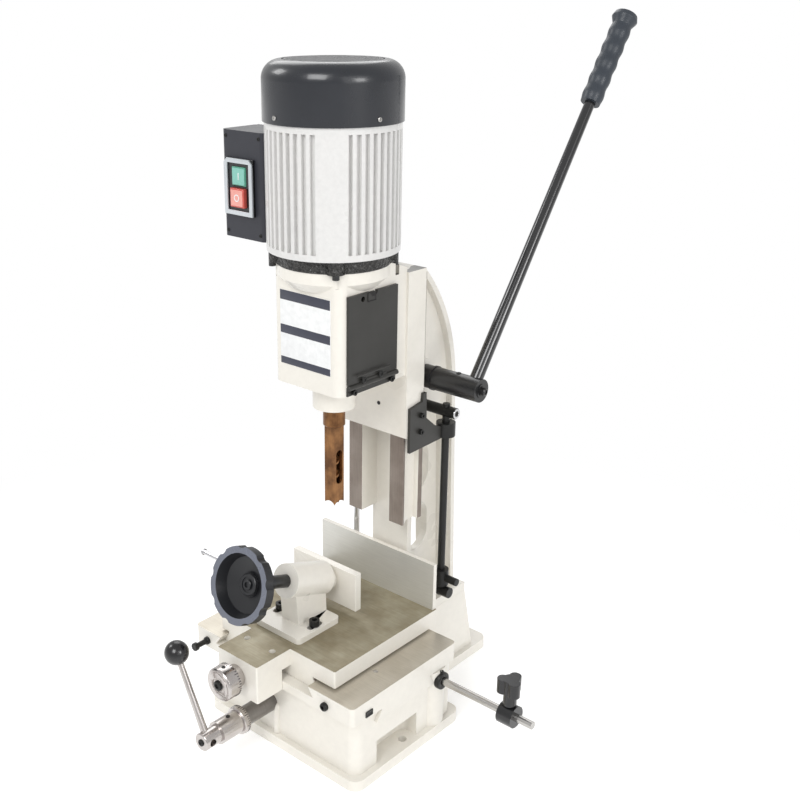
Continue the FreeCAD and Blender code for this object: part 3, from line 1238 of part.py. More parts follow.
def stop_knob():
    foot = TSTOP_Z + TSTOP_R + AIR
    stem = bar(V(TSTOP_COLLAR_X, TSTOP_Y, foot), UP, KNOB_STEM_R, KNOB_Z - foot + LOOSE)
    collar = bar(V(TSTOP_COLLAR_X, TSTOP_Y, TSTOP_Z + TSTOP_COLLAR_R + AIR), UP,
                 2 * KNOB_STEM_R, KNOB_Z - TSTOP_Z - TSTOP_COLLAR_R)
    body = bar(V(TSTOP_COLLAR_X, TSTOP_Y, KNOB_Z), UP, KNOB_R * 0.62, KNOB_H)
    lobes = []
    for k in range(3):
        a = math.radians(90 + 120 * k)
        spot = V(TSTOP_COLLAR_X + KNOB_R * 0.55 * math.cos(a),
                 TSTOP_Y + KNOB_R * 0.55 * math.sin(a), KNOB_Z)
        lobes.append(bar(spot, UP, KNOB_R * 0.45, KNOB_H))
    return body.fuse(lobes + [stem, collar])


def saddle_casting():
    plate = soft_block(SADDLE_LEFT, SADDLE_RIGHT, SADDLE_FRONT, SADDLE_REAR, SADDLE_BOTTOM,
                       SADDLE_TOP, SADDLE_CORNER_R)
    front = WAY_Y - WAY_HALF + SLIDE_FIT
    rear = WAY_Y + WAY_HALF - SLIDE_FIT
    tail = prism(way_points(front, rear, WAY_FLOOR + AIR, BASE_TOP), "x",
                 SADDLE_LEFT, SADDLE_RIGHT)
    neck = block(SADDLE_LEFT, SADDLE_RIGHT, front, rear, BASE_TOP, SADDLE_BOTTOM)
    body = plate.fuse([tail, neck])
    groove = prism([(CROSS_X - CROSS_HALF, SADDLE_TOP + LOOSE),
                    (CROSS_X - CROSS_HALF - CROSS_FLARE, CROSS_FLOOR),
                    (CROSS_X + CROSS_HALF + CROSS_FLARE, CROSS_FLOOR),
                    (CROSS_X + CROSS_HALF, SADDLE_TOP + LOOSE)],
                   "y", SADDLE_FRONT - LOOSE, SADDLE_REAR + LOOSE)
    pocket = block(CAP_RACK_LEFT, CAP_RACK_RIGHT, CAP_RACK_FRONT, CAP_RACK_REAR,
                   WAY_FLOOR, CAP_POCKET_TOP)
    return body.cut([groove, pocket]).fuse(saddle_rack()).removeSplitter()


def saddle_rack():
    points = rack_points(CAP_MODULE, CAP_RACK_LEFT, CAP_RACK_RIGHT, CAP_X, CAP_RACK_LINE,
                         CAP_POCKET_TOP, -1)
    return prism(points, "y", CAP_RACK_FRONT, CAP_RACK_REAR)


def cross_nut():
    body = block(CROSS_X - FEED_CHANNEL_HALF + LOOSE, CROSS_X + FEED_CHANNEL_HALF - LOOSE,
                 NUT_FRONT, NUT_REAR, CROSS_FLOOR, FEED_CHANNEL_TOP - LOOSE)
    return body.cut(bar(V(CROSS_X, NUT_FRONT - LOOSE, FEED_Z), BACK, FEED_R + RUN_FIT,
                        NUT_REAR - NUT_FRONT + 2 * LOOSE))


def capstan_shaft():
    gear = prism(gear_points(CAP_MODULE, CAP_TEETH, math.pi / 2), "y",
                 CAP_RACK_FRONT + AIR, CAP_RACK_REAR - AIR)
    gear.translate(V(CAP_X, 0, CAP_Z))
    end = CAP_RACK_REAR + 2 * BASE_WALL + RIB_T
    shaft = bar(V(CAP_X, CAP_COLLAR_FRONT, CAP_Z), BACK, CAP_SHAFT_R, end - CAP_COLLAR_FRONT)
    return gear.fuse(shaft)


def capstan_lever_dir():
    a = math.radians(CAP_LEVER_TILT)
    return V(-math.sin(a), 0, math.cos(a))


def capstan_hub():
    start = SLEEVE_FRONT - AIR - CAP_DIAL_W
    collar = bar(V(CAP_X, CAP_COLLAR_FRONT, CAP_Z), BACK, CAP_COLLAR_R, start - CAP_COLLAR_FRONT)
    dial = turned([(0, 0), (CAP_DIAL_R - LOOSE, 0), (CAP_DIAL_R, LOOSE),
                   (CAP_DIAL_R, CAP_DIAL_W - LOOSE), (CAP_DIAL_R - LOOSE, CAP_DIAL_W),
                   (0, CAP_DIAL_W)], V(CAP_X, start, CAP_Z), BACK)
    nose = turned([(0, 0), (CAP_NOSE_R - LOOSE, 0), (CAP_NOSE_R, LOOSE),
                   (CAP_NOSE_R, CAP_COLLAR_FRONT - CAP_FACE), (0, CAP_COLLAR_FRONT - CAP_FACE)],
                  V(CAP_X, CAP_FACE, CAP_Z), BACK)
    bore = bar(V(CAP_X, CAP_COLLAR_FRONT, CAP_Z), BACK, CAP_SHAFT_R,
               SLEEVE_FRONT - AIR - CAP_COLLAR_FRONT)
    hub = V(CAP_X, CAP_LEVER_Y, CAP_Z)
    seat = bar(hub, capstan_lever_dir(), CAP_LEVER_R_ROOT, 2 * CAP_NOSE_R)
    spare = bar(hub, RIGHT, CAP_LEVER_R_ROOT, 2 * CAP_NOSE_R)
    return collar.fuse([dial, nose]).cut([bore, seat, spare])


def capstan_lever():
    hub = V(CAP_X, CAP_LEVER_Y, CAP_Z)
    way = capstan_lever_dir()
    root = bar(hub, way, CAP_LEVER_R_ROOT, CAP_NOSE_R)
    stem = taper(hub + way * CAP_NOSE_R, way, CAP_LEVER_R_ROOT, CAP_LEVER_R_TIP,
                 CAP_LEVER_LENGTH - CAP_NOSE_R)
    return root.fuse(stem)


def lever_ball():
    way = capstan_lever_dir()
    centre = V(CAP_X, CAP_LEVER_Y, CAP_Z) + way * CAP_LEVER_LENGTH
    ball = Part.makeSphere(BALL_R)
    ball = oriented(ball, centre, way)
    return ball.cut(capstan_lever())


def table_casting():
    top = soft_block(TABLE_LEFT, TABLE_RIGHT, TABLE_FRONT, TABLE_REAR, TABLE_BOTTOM, TABLE_TOP,
                     2 * LOOSE)
    tongue = soft_block(TONGUE_LEFT, TONGUE_RIGHT, TONGUE_FRONT, TABLE_FRONT + 4 * LOOSE,
                        TABLE_BOTTOM, TABLE_TOP, 2 * LOOSE)
    deep = block(TONGUE_LEFT, TONGUE_RIGHT, TONGUE_FRONT, DEEP_REAR, SADDLE_BOTTOM, TABLE_TOP)
    deep = rounded(deep, 2 * LOOSE, lambda e: upright(e) and e.BoundBox.YMax < DEEP_REAR - LOOSE)
    low = CROSS_FLOOR + AIR
    left = CROSS_X - CROSS_HALF + SLIDE_FIT
    right = CROSS_X + CROSS_HALF - SLIDE_FIT - GIB_T
    flare = CROSS_FLARE * (SADDLE_TOP - low) / (SADDLE_TOP - CROSS_FLOOR)
    tail = prism([(left, TABLE_BOTTOM + WELD), (left, SADDLE_TOP), (left - flare, low),
                  (right + flare, low), (right, SADDLE_TOP), (right, TABLE_BOTTOM + WELD)],
                 "y", TABLE_FRONT, TABLE_REAR)
    body = top.fuse([tongue, deep, tail])
    channel = block(CROSS_X - FEED_CHANNEL_HALF, CROSS_X + FEED_CHANNEL_HALF, DEEP_REAR - LOOSE,
                    TABLE_REAR + LOOSE, CROSS_FLOOR, FEED_CHANNEL_TOP)
    bore = bar(V(CROSS_X, TONGUE_FRONT - LOOSE, FEED_Z), BACK, FEED_R + RUN_FIT,
               DEEP_REAR - TONGUE_FRONT + LOOSE)
    body = body.cut([channel, bore])
    for x in (TONGUE_HOLE_LEFT, TONGUE_HOLE_RIGHT):
        body = body.cut(bar(V(x, TONGUE_HOLE_Y, TABLE_TOP - TONGUE_HOLE_DEPTH), UP, TONGUE_HOLE_R,
                            TONGUE_HOLE_DEPTH))
    for x in fence_screw_spots():
        y = (FENCE_FRONT + FENCE_REAR) / 2
        body = body.cut(bar(V(x, y, TABLE_BOTTOM), UP, FENCE_SCREW_R, TABLE_TOP - TABLE_BOTTOM))
    for x, y in vice_screw_spots():
        body = body.cut(bar(V(x, y, TABLE_TOP - FOOT_T), UP, VICE_SCREW_R, FOOT_T))
    return body.removeSplitter()


def table_gib():
    low = CROSS_FLOOR + AIR
    flare = CROSS_FLARE * (SADDLE_TOP - low) / (SADDLE_TOP - CROSS_FLOOR)
    inner = CROSS_X + CROSS_HALF - SLIDE_FIT - GIB_T
    outer = CROSS_X + CROSS_HALF - RUN_FIT
    return prism([(inner, SADDLE_TOP), (inner + flare, low), (outer + flare, low),
                  (outer, SADDLE_TOP)], "y", TABLE_FRONT + LOOSE, TABLE_REAR - LOOSE)


def fence_screw_spots():
    span = FENCE_RIGHT - FENCE_LEFT
    return [FENCE_LEFT + span * (k + 0.5) / FENCE_SCREWS for k in range(FENCE_SCREWS)]


def fence_screws():
    y = (FENCE_FRONT + FENCE_REAR) / 2
    return [bar(V(x, y, TABLE_BOTTOM), UP, FENCE_SCREW_R,
                TABLE_TOP - TABLE_BOTTOM + FENCE_SCREW_DEPTH) for x in fence_screw_spots()]


def fence():
    body = block(FENCE_LEFT, FENCE_RIGHT, FENCE_FRONT, FENCE_REAR, TABLE_TOP, FENCE_TOP)
    y = (FENCE_FRONT + FENCE_REAR) / 2
    for x in fence_screw_spots():
        body = body.cut(bar(V(x, y, TABLE_TOP), UP, FENCE_SCREW_R, FENCE_SCREW_DEPTH))
    return body


def cross_screw():
    """Feed screw with the dial hub turned on its front end."""
    collar_start = FEED_HUB_FACE + FEED_HUB_W
    hub = turned([(0, 0), (FEED_HUB_R - 2 * LOOSE, 0), (FEED_HUB_R, 2 * LOOSE),
                  (FEED_HUB_R, FEED_HUB_W), (0, FEED_HUB_W)],
                 V(CROSS_X, FEED_HUB_FACE, FEED_Z), BACK)
    collar = bar(V(CROSS_X, collar_start, FEED_Z), BACK, FEED_COLLAR_R,
                 TONGUE_FRONT - AIR - collar_start)
    screw = bar(V(CROSS_X, collar_start, FEED_Z), BACK, FEED_R, FEED_END - collar_start)
    return hub.fuse([collar, screw])


def vice_screw_spots():
    middle = (VICE_PLATE_FRONT + VICE_PLATE_REAR) / 2
    return [(VICE_PLATE_LEFT + VICE_SCREW_INSET, middle), (VICE_PLATE_RIGHT - VICE_SCREW_INSET, middle)]


def vice_point(s):
    return VICE_ORIGIN + VICE_AXIS * s


def vice_bracket():
    plate = soft_block(VICE_PLATE_LEFT, VICE_PLATE_RIGHT, VICE_PLATE_FRONT, VICE_PLATE_REAR,
                       TABLE_TOP, TABLE_TOP + VICE_PLATE_T, 6 * LOOSE)
    slots = []
    for x, y in vice_screw_spots():
        hole = slot(-VICE_SLOT_L / 2, VICE_SLOT_L / 2, 0, VICE_SLOT_R, TABLE_TOP,
                    TABLE_TOP + VICE_PLATE_T)
        hole.rotate(V(0, 0, 0), UP, 90)
        hole.translate(V(x, y, 0))
        slots.append(hole)
    boss = bar(vice_point(0), VICE_AXIS, VICE_BOSS_R, VICE_BOSS_LENGTH)
    high = vice_point(0)
    low = vice_point(VICE_BOSS_LENGTH)
    web = prism([(VICE_PLATE_FRONT + 3 * VICE_PLATE_T, TABLE_TOP), (VICE_PLATE_REAR, TABLE_TOP),
                 (low.y - VICE_PLATE_T, low.z), (high.y + LOOSE * 2, high.z)],
                "x", CROSS_X - VICE_WEB_HALF, CROSS_X + VICE_WEB_HALF)
    bore = bar(vice_point(-LOOSE), VICE_AXIS, CLAMP_R + RUN_FIT, VICE_BOSS_LENGTH + 2 * LOOSE)
    return plate.cut(slots).fuse([boss, web]).cut(bore).removeSplitter()


def vice_screws():
    return [cap_screw(V(x, y, TABLE_TOP + VICE_PLATE_T), UP * -1, VICE_SCREW_R, VICE_SCREW_HEAD_R,
                      VICE_PLATE_T + FOOT_T - LOOSE) for x, y in vice_screw_spots()]


def vice_jaw():
    plate = block(JAW_LEFT, JAW_RIGHT, JAW_FRONT, JAW_REAR, JAW_BOTTOM, JAW_TOP)
    plate = rounded(plate, LOOSE, upright)
    start = VICE_BOSS_LENGTH + AIR
    reach = (JAW_REAR - VICE_Y) / VICE_AXIS.y - start
    boss = bar(vice_point(start), VICE_AXIS, JAW_BOSS_R, reach)
    boss = boss.common(block(JAW_LEFT, JAW_RIGHT, VICE_Y, JAW_REAR, JAW_BOTTOM, JAW_TOP))
    socket = bar(vice_point(start - LOOSE), VICE_AXIS, CLAMP_R + RUN_FIT,
                 JAW_FRONT - VICE_Y - VICE_BOSS_LENGTH + FOOT_T / 2 + 2 * LOOSE)
    return plate.fuse(boss).cut(socket)


def clamp_screw():
    end = VICE_BOSS_LENGTH + JAW_FRONT - VICE_Y - VICE_BOSS_LENGTH + FOOT_T / 2
    return bar(vice_point(-WHEEL_FACE_S + WHEEL_DISH), VICE_AXIS, CLAMP_R,
               end + WHEEL_FACE_S - WHEEL_DISH)


def clamp_handwheel():
    floor = WHEEL_DISH
    profile = [(CLAMP_R, floor), (WHEEL_HUB_R, floor), (WHEEL_HUB_R, floor + 2 * LOOSE),
               (WHEEL_R * 0.72, floor - 4 * LOOSE), (WHEEL_R * 0.82, 0), (WHEEL_R, 0),
               (WHEEL_R, WHEEL_RIM_T), (WHEEL_R * 0.86, WHEEL_RIM_T),
               (WHEEL_R * 0.76, floor + 3 * LOOSE), (CLAMP_SLEEVE_R + 4 * LOOSE, floor + 8 * LOOSE),
               (CLAMP_SLEEVE_R, floor + 12 * LOOSE), (CLAMP_SLEEVE_R, WHEEL_FACE_S - SLEEVE_END_S),
               (CLAMP_R, WHEEL_FACE_S - SLEEVE_END_S)]
    wheel = turned(profile, V(0, 0, 0), UP)
    scallops = []
    for k in range(WHEEL_LOBES):
        cut = bar(V(WHEEL_R + WHEEL_SCALLOP_R * 0.75, 0, -LOOSE), UP, WHEEL_SCALLOP_R,
                  WHEEL_RIM_T + 2 * LOOSE)
        cut.rotate(V(0, 0, 0), UP, 360 * (k + 0.5) / WHEEL_LOBES)
        scallops.append(cut)
    wheel = wheel.cut(scallops)
    wheel = oriented(wheel, vice_point(-WHEEL_FACE_S), VICE_AXIS)
    return wheel.cut(bar(wheel_pin_start(), RIGHT * -1, WHEEL_PIN_R, WHEEL_PIN_L))


def wheel_pin_start():
    slope_up = V(0, -VICE_AXIS.z, VICE_AXIS.y)
    centre = vice_point(-WHEEL_FACE_S + WHEEL_RIM_T / 2)
    return centre + slope_up * (WHEEL_R * 0.36) - RIGHT * (WHEEL_R * 0.83)


def handwheel_pin():
    start = wheel_pin_start()
    body = bar(start, RIGHT * -1, WHEEL_PIN_R, WHEEL_PIN_L + 4 * LOOSE)
    cap = bar(start - RIGHT * (WHEEL_PIN_L + 4 * LOOSE), RIGHT * -1, WHEEL_PIN_R + LOOSE, 3 * LOOSE)
    return body.fuse(cap)


NODES = {
    "base_casting": base_casting, "column_casting": column_casting,
    "column_screws": column_screws,
    "depth_rod": depth_rod, "rod_supports": rod_supports, "strut_rod": strut_rod,
    "capstan_sleeve": capstan_sleeve,
    "table_stop_rod": table_stop_rod,
    "head_casting": head_casting, "head_gib": head_gib,
    "head_rack": head_rack, "motor_flange": motor_flange, "flange_bolts": flange_bolts,
    "motor_housing": motor_housing, "stator": stator, "motor_bearings": motor_bearings,
    "fan_cover": fan_cover, "cable_gland": cable_glands, "motor_lead": motor_lead,
    "door_hinge": door_hinge,
    "hollow_chisel": hollow_chisel,
    "strut_tube": strut_tube, "strut_bracket": strut_bracket, "stop_bracket": stop_bracket,
    "small_screws": small_screws, "guide_collar": guide_collar,
    "switch_box": switch_box, "switch_box_lid": switch_box_lid,
    "switch_module": switch_module,
    "motor_rotor": motor_rotor, "cooling_fan": cooling_fan, "drill_chuck": drill_chuck,
    "auger_bit": auger_bit,
    "chuck_door": chuck_door, "start_button": start_button, "stop_button": stop_button,
    "drive_pinion": drive_pinion, "lever_hub": lever_hub, "lever_rod": lever_rod,
    "lever_grip": lever_grip,
    "depth_stop_collar": depth_stop_collar,
    "saddle_casting": saddle_casting,
    "cross_nut": cross_nut,
    "table_casting": table_casting, "table_gib": table_gib, "fence": fence,
    "fence_screws": fence_screws, "vice_bracket": vice_bracket, "vice_screws": vice_screws,
    "cross_screw": cross_screw,
    "capstan_shaft": capstan_shaft, "capstan_hub": capstan_hub,
    "capstan_lever": capstan_lever, "lever_ball": lever_ball,
    "vice_jaw": vice_jaw, "clamp_screw": clamp_screw, "clamp_handwheel": clamp_handwheel,
    "handwheel_pin": handwheel_pin,
    "table_stop_collar": table_stop_collar, "stop_knob": stop_knob,
}

for name, make in NODES.items():
    made = make()
    solids = made if isinstance(made, list) else [made]
    bodies = [s for m in solids for s in m.Solids]
    shape = bodies[0] if len(bodies) == 1 else Part.makeCompound(bodies)
    box = shape.BoundBox
    print("%-20s n=%d valid=%s vol=%.0f x %.1f..%.1f y %.1f..%.1f z %.1f..%.1f" % (
        name, len(bodies), shape.isValid(), shape.Volume, box.XMin, box.XMax,
        box.YMin, box.YMax, box.ZMin, box.ZMax))
    shape.exportStep("parts/" + name + ".step")
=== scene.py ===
import logging
import math
from contextlib import contextmanager
from dataclasses import dataclass, field
from enum import Enum
from functools import cache
from typing import Callable, Iterator, Sequence

import bmesh
import bpy
from mathutils import Matrix, Vector


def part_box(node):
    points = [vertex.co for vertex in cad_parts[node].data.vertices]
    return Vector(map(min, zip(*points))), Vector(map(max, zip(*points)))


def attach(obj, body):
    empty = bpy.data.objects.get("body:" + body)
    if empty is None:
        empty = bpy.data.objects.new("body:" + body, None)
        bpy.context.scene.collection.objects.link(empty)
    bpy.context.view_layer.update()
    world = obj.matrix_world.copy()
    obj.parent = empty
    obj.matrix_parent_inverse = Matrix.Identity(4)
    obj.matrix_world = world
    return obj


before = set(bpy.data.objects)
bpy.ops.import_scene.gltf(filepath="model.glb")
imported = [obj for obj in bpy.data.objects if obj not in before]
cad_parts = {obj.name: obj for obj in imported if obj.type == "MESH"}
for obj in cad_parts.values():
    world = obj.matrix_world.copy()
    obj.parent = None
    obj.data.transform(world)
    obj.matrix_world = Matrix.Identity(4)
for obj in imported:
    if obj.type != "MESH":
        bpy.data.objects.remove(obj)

LOG = logging.getLogger("mortiser")
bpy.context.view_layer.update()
MM = 0.001
Point = tuple[float, float, float]
FRONT: Point = (0.0, -1.0, 0.0)
BACK: Point = (0.0, 1.0, 0.0)
RIGHT: Point = (1.0, 0.0, 0.0)
LEFT: Point = (-1.0, 0.0, 0.0)
UP: Point = (0.0, 0.0, 1.0)
DOWN: Point = (0.0, 0.0, -1.0)
WHEEL_TILT_DEG = 18.6
WHEEL_OUT: Point = (0.0, -math.cos(math.radians(WHEEL_TILT_DEG)),
                    math.sin(math.radians(WHEEL_TILT_DEG)))


def linear(code: str) -> tuple[float, float, float, float]:
    """Turn an sRGB hex colour into linear light.

    Args:
        code: Six hex digits with a leading hash.

    Returns:
        Red, green, blue and alpha in linear light.
    """
    channels = []
    for start in (1, 3, 5):
        value = int(code[start:start + 2], 16) / 255
        channels.append(value / 12.92 if value <= 0.04045 else ((value + 0.055) / 1.055) ** 2.4)
    return (channels[0], channels[1], channels[2], 1.0)


def node_box(name: str) -> tuple[Vector, Vector]:
    """Lowest and highest corner of a CAD node in millimetres."""
    low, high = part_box(name)
    return Vector(low) / MM, Vector(high) / MM


def middle(name: str) -> Vector:
    """Middle of a CAD node's box in millimetres."""
    low, high = node_box(name)
    return (low + high) / 2


def seat(name: str, start: Sequence[float], way: Sequence[float]) -> Vector:
    """Place where a ray first meets a CAD node.

    Args:
        name: Name of the node.
        start: Start of the ray in millimetres.
        way: Direction of the ray.

    Returns:
        The place met, in millimetres.
    """
    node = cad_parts[name]
    back = node.matrix_world.inverted()
    met, place, _, _ = node.ray_cast(back @ (Vector(start) * MM), back.to_3x3() @ Vector(way))
    if not met:
        raise ValueError(f"no surface of {name} on the ray from {tuple(start)}")
    return (node.matrix_world @ place) / MM


def feed(tree: bpy.types.NodeTree, node: bpy.types.Node, values: dict[str | int, object]) -> None:
    """Link or set some inputs of a shader node.

    Args:
        tree: The node tree that the node is in.
        node: The node.
        values: Input by name or number, to a node, a socket or a plain value.
    """
    for key, value in values.items():
        if isinstance(value, bpy.types.Node):
            value = value.outputs[0]
        if isinstance(value, bpy.types.NodeSocket):
            tree.links.new(value, node.inputs[key])
        else:
            node.inputs[key].default_value = value


def add_node(tree: bpy.types.NodeTree, kind: str, settings: dict | None = None,
             numbered: dict[int, object] | None = None, **named: object) -> bpy.types.Node:
    """Add one shader node with its settings and its input links or values.

    Args:
        tree: The node tree it goes into.
        kind: Blender's type name of the node, after the word ShaderNode.
        settings: Attributes set on the node itself.
        numbered: Inputs by number, for those that share a name.
        named: Inputs by name, with underscores for spaces.

    Returns:
        The new node.
    """
    made = tree.nodes.new("ShaderNode" + kind)
    for key, value in (settings or {}).items():
        setattr(made, key, value)
    feed(tree, made, numbered or {})
    feed(tree, made, {key.replace("_", " "): value for key, value in named.items()})
    return made


class Surface(Enum):
    """How a surface was made, which decides its relief."""

    CAST = "sand casting under enamel"
    WRINKLE = "wrinkle paint"
    GROUND = "milled and ground iron"
    TURNED = "turned or drawn steel"
    MOULDED = "moulded plastic"
    GLOSS = "smooth gloss"


@dataclass(frozen=True)
class Finish:
    """One finish: a real material and how its surface was made.

    colour and second are mixed in soft clouds cloud_mm wide; grain_mm is the pitch of the
    relief, depth_mm its height, and lay stretches it along the axes with small numbers.
    """

    name: str
    colour: str
    second: str
    surface: Surface
    slot: str
    metallic: float = 0.0
    roughness: float = 0.4
    grain_mm: float = 3.0
    depth_mm: float = 0.02
    lay: Point = (1.0, 1.0, 1.0)
    coat: float = 0.0
    spread: float = 0.35
    cloud_mm: float = 45.0

    def material(self) -> bpy.types.Material:
        """Build the node material of this finish.

        Returns:
            The material, ready to assign.
        """
        made = bpy.data.materials.new(self.name)
        made.use_nodes = True
        tree = made.node_tree
        place = add_node(tree, "TexCoord").outputs["Object"]
        grain = self._grain(tree, place)
        cloud = add_node(tree, "TexNoise", Vector=place, Scale=1 / (self.cloud_mm * MM),
                         Detail=3.0, Roughness=0.6).outputs["Fac"]
        share = add_node(tree, "MapRange", Value=cloud, From_Min=0.35, From_Max=0.65, To_Min=0.0,
                         To_Max=self.spread)
        mix = add_node(tree, "Mix", {"data_type": "RGBA"},
                       {0: share, 6: linear(self.colour), 7: linear(self.second)})
        # painted shade: the colour is darkened in the low parts of the relief, by up to 0.3 of
        # spread
        shade = add_node(tree, "MapRange", Value=grain, From_Min=0.3, From_Max=0.7,
                         To_Min=1 - self.spread * 0.3, To_Max=1.0)
        tint = add_node(tree, "Mix", {"data_type": "RGBA", "blend_type": "MULTIPLY"},
                        {0: 1.0, 6: mix.outputs[2], 7: shade})
        rough = add_node(tree, "MapRange", Value=cloud, From_Min=0.3, From_Max=0.7,
                         To_Min=self.roughness * 0.88, To_Max=min(1.0, self.roughness * 1.15))
        bump = add_node(tree, "Bump", Height=grain, Strength=1.0, Distance=self.depth_mm * MM)
        feed(tree, tree.nodes["Principled BSDF"], {
            "Metallic": self.metallic, "Coat Weight": self.coat, "Coat Roughness": 0.08,
            "Base Color": tint.outputs[2], "Roughness": rough, "Normal": bump})
        return made

    def _grain(self, tree: bpy.types.NodeTree, place: bpy.types.NodeSocket) -> bpy.types.NodeSocket:
        """Height pattern of the surface, at its real scale.

        Args:
            tree: The material's node tree.
            place: Object coordinates in metres.

        Returns:
            A socket that runs from 0 to 1.
        """
        scale = 1 / (self.grain_mm * MM)
        laid = add_node(tree, "Mapping", Vector=place, Scale=self.lay)
        if self.surface is Surface.WRINKLE:
            # closed ridges round small pits, as baked wrinkle paint draws up
            return add_node(tree, "TexVoronoi", {"feature": "SMOOTH_F1"}, Vector=laid,
                            Scale=scale).outputs["Distance"]
        detail = {Surface.GROUND: 5.0, Surface.TURNED: 4.0}
        return add_node(tree, "TexNoise", Vector=laid, Scale=scale,
                        Detail=detail.get(self.surface, 2.0), Roughness=0.6).outputs["Fac"]


ALONG_X: Point = (0.03, 1.0, 1.0)
ALONG_Z: Point = (1.0, 1.0, 0.03)
ROUND_Y: Point = (0.06, 1.0, 0.06)

# Gloss enamel over sand castings: warm white with the slow waves of the mould
CREAM_ENAMEL = Finish("Cream enamel on cast iron", "#e9e5dc", "#e2ddd2", Surface.CAST,
                      "cast_white", roughness=0.30, grain_mm=9.0, depth_mm=0.12, coat=0.35,
                      spread=0.12, cloud_mm=70.0)
# The same paint on the extruded motor body: cooler and flatter, with no mould waves
MOTOR_ENAMEL = Finish("Silver white enamel on aluminium", "#dbdad8", "#cfcfcf", Surface.GLOSS,
                      "motor_white", roughness=0.30, grain_mm=5.0, depth_mm=0.02, coat=0.35,
                      spread=0.2)
# Gloss paint on pressed sheet: blue black, with wide soft highlights
COVER_ENAMEL = Finish("Black enamel on sheet steel", "#1d2027", "#191b20", Surface.GLOSS,
                      "cover_black", roughness=0.27, grain_mm=12.0, depth_mm=0.03, coat=0.3)
# Satin moulding of the switch box: slate grey with a fine spark texture
SWITCH_PLASTIC = Finish("Moulded switch box", "#303139", "#2a2b32", Surface.MOULDED,
                        "cover_black", roughness=0.42, grain_mm=0.9, depth_mm=0.05)
# Baked wrinkle paint on the motor flange: black, with grey flecks mixed into its colour as painted
# glints
WRINKLE_PAINT = Finish("Black wrinkle paint", "#0b0b0b", "#4a4845", Surface.WRINKLE,
                       "wrinkle_black", roughness=0.26, grain_mm=3.2, depth_mm=3.0, spread=0.7,
                       cloud_mm=2.6)
# Ground iron of the table: olive grey, with lines along X and brown oil stains
GROUND_IRON = Finish("Ground cast iron", "#aba38c", "#867a5f", Surface.GROUND, "ground_iron",
                     0.35, 0.46, 0.9, 0.03, ALONG_X, spread=0.75, cloud_mm=42.0)
# Ground face of the fence: pale grey, without oil
FENCE_IRON = Finish("Ground fence face", "#dcdbd5", "#c6c4bb", Surface.GROUND, "ground_iron",
                    0.45, 0.34, 0.9, 0.02, ALONG_X, spread=0.35, cloud_mm=80.0)
# Top strip of the saddle: paler than the table; its warm grey is partly ground iron and partly
# painted shade beside the table
SLIDE_IRON_AND_SHADE = Finish("Ground slideway and painted shade", "#d2cbbd", "#b9b09f", Surface.GROUND, "ground_iron",
                    0.55, 0.36, 0.9, 0.02, ALONG_X, spread=0.5)
# Top of the slide block: grey and dull, darker than the cream enamel round it
BLOCK_TOP_GREY = Finish("Grey block top", "#8f8e8b", "#7d7c79", Surface.GROUND, "ground_iron",
                  0.3, 0.5, 0.9, 0.02, ALONG_X, spread=0.5)
# Oiled rails of the column: brownish grey, ground up and down
RAIL_IRON = Finish("Oiled ground rail", "#978c83", "#776a60", Surface.GROUND, "rail_iron",
                   0.55, 0.40, 0.9, 0.02, ALONG_Z, spread=0.6)
# Bright steel turned about Y: hubs and collars of the two dials
HUB_STEEL = Finish("Bright turned hub steel", "#cbc6c3", "#aea6a2", Surface.TURNED, "steel",
                   1.0, 0.24, 0.8, 0.01, ROUND_Y, spread=0.4)
# Bright steel drawn or turned about X
BAR_STEEL = Finish("Bright drawn steel bar", "#c8c6c3", "#a9a5a1", Surface.TURNED, "steel",
                   1.0, 0.25, 0.8, 0.01, ALONG_X, spread=0.35)
# Sleeve of the capstan: greyer, with an oily film
SLEEVE_STEEL = Finish("Oiled turned steel", "#8f8c8a", "#6f6b68", Surface.TURNED, "steel",
                      1.0, 0.32, 0.8, 0.01, ROUND_Y, spread=0.5)
# Hard chrome: near mirror
CHROME = Finish("Polished chrome", "#dcdcde", "#cbcbce", Surface.GLOSS, "chrome", 1.0, 0.10,
                20.0, 0.005)
# Blacked steel of rods and screws: dark with a dull oily shine
BLACK_STEEL = Finish("Oil blacked steel", "#2b2b2a", "#1f1f1f", Surface.TURNED, "black_steel",
                     0.5, 0.38, 1.5, 0.01, ALONG_Z)
# Satin black paint on pressed plates: door, hinge and brackets
PLATE_BLACK = Finish("Satin black paint on plate", "#302f2c", "#2a2926", Surface.GLOSS,
                     "door_black", roughness=0.42, grain_mm=1.6, depth_mm=0.015)
# Semi gloss black of the lever hub, clamp screw, strut tube and flange bolts
HUB_BLACK = Finish("Black enamel on turned steel", "#1c1c1d", "#161617", Surface.GLOSS,
                   "black_steel", roughness=0.33, grain_mm=6.0, depth_mm=0.01, coat=0.2)
# Lacquered lever bar: sharp white streaks on black
LEVER_LACQUER = Finish("Black lacquered steel bar", "#1a1a1c", "#141416", Surface.GLOSS,
                       "black_steel", roughness=0.16, grain_mm=30.0, depth_mm=0.01, coat=0.6)
# Heat coloured chisel: bronze brown with paler patches
TOOL_STEEL = Finish("Tempered tool steel", "#a8794e", "#6d4a30", Surface.GROUND, "tool_steel",
                    0.85, 0.33, 0.7, 0.02, ALONG_Z, spread=1.0, cloud_mm=22.0)
# Moulded lever grip: slate, satin
GRIP_PLASTIC = Finish("Moulded lever grip", "#333941", "#292e35", Surface.MOULDED,
                      "grey_plastic", roughness=0.40, grain_mm=0.9, depth_mm=0.03)
# Moulded handwheel: near black, satin
WHEEL_PLASTIC = Finish("Moulded handwheel", "#232427", "#1c1d20", Surface.MOULDED,
                       "wheel_grey", roughness=0.36, grain_mm=1.0, depth_mm=0.03)
# Outward face of the handwheel's rim: paler blue grey than the black moulding, a painted
# reflection, and a little glossier
RIM_PAINTED_REFLECTION = Finish("Handwheel rim face painted reflection", "#6f737f", "#62666f", Surface.MOULDED,
                     "wheel_grey", roughness=0.28, grain_mm=2.0, depth_mm=0.01)
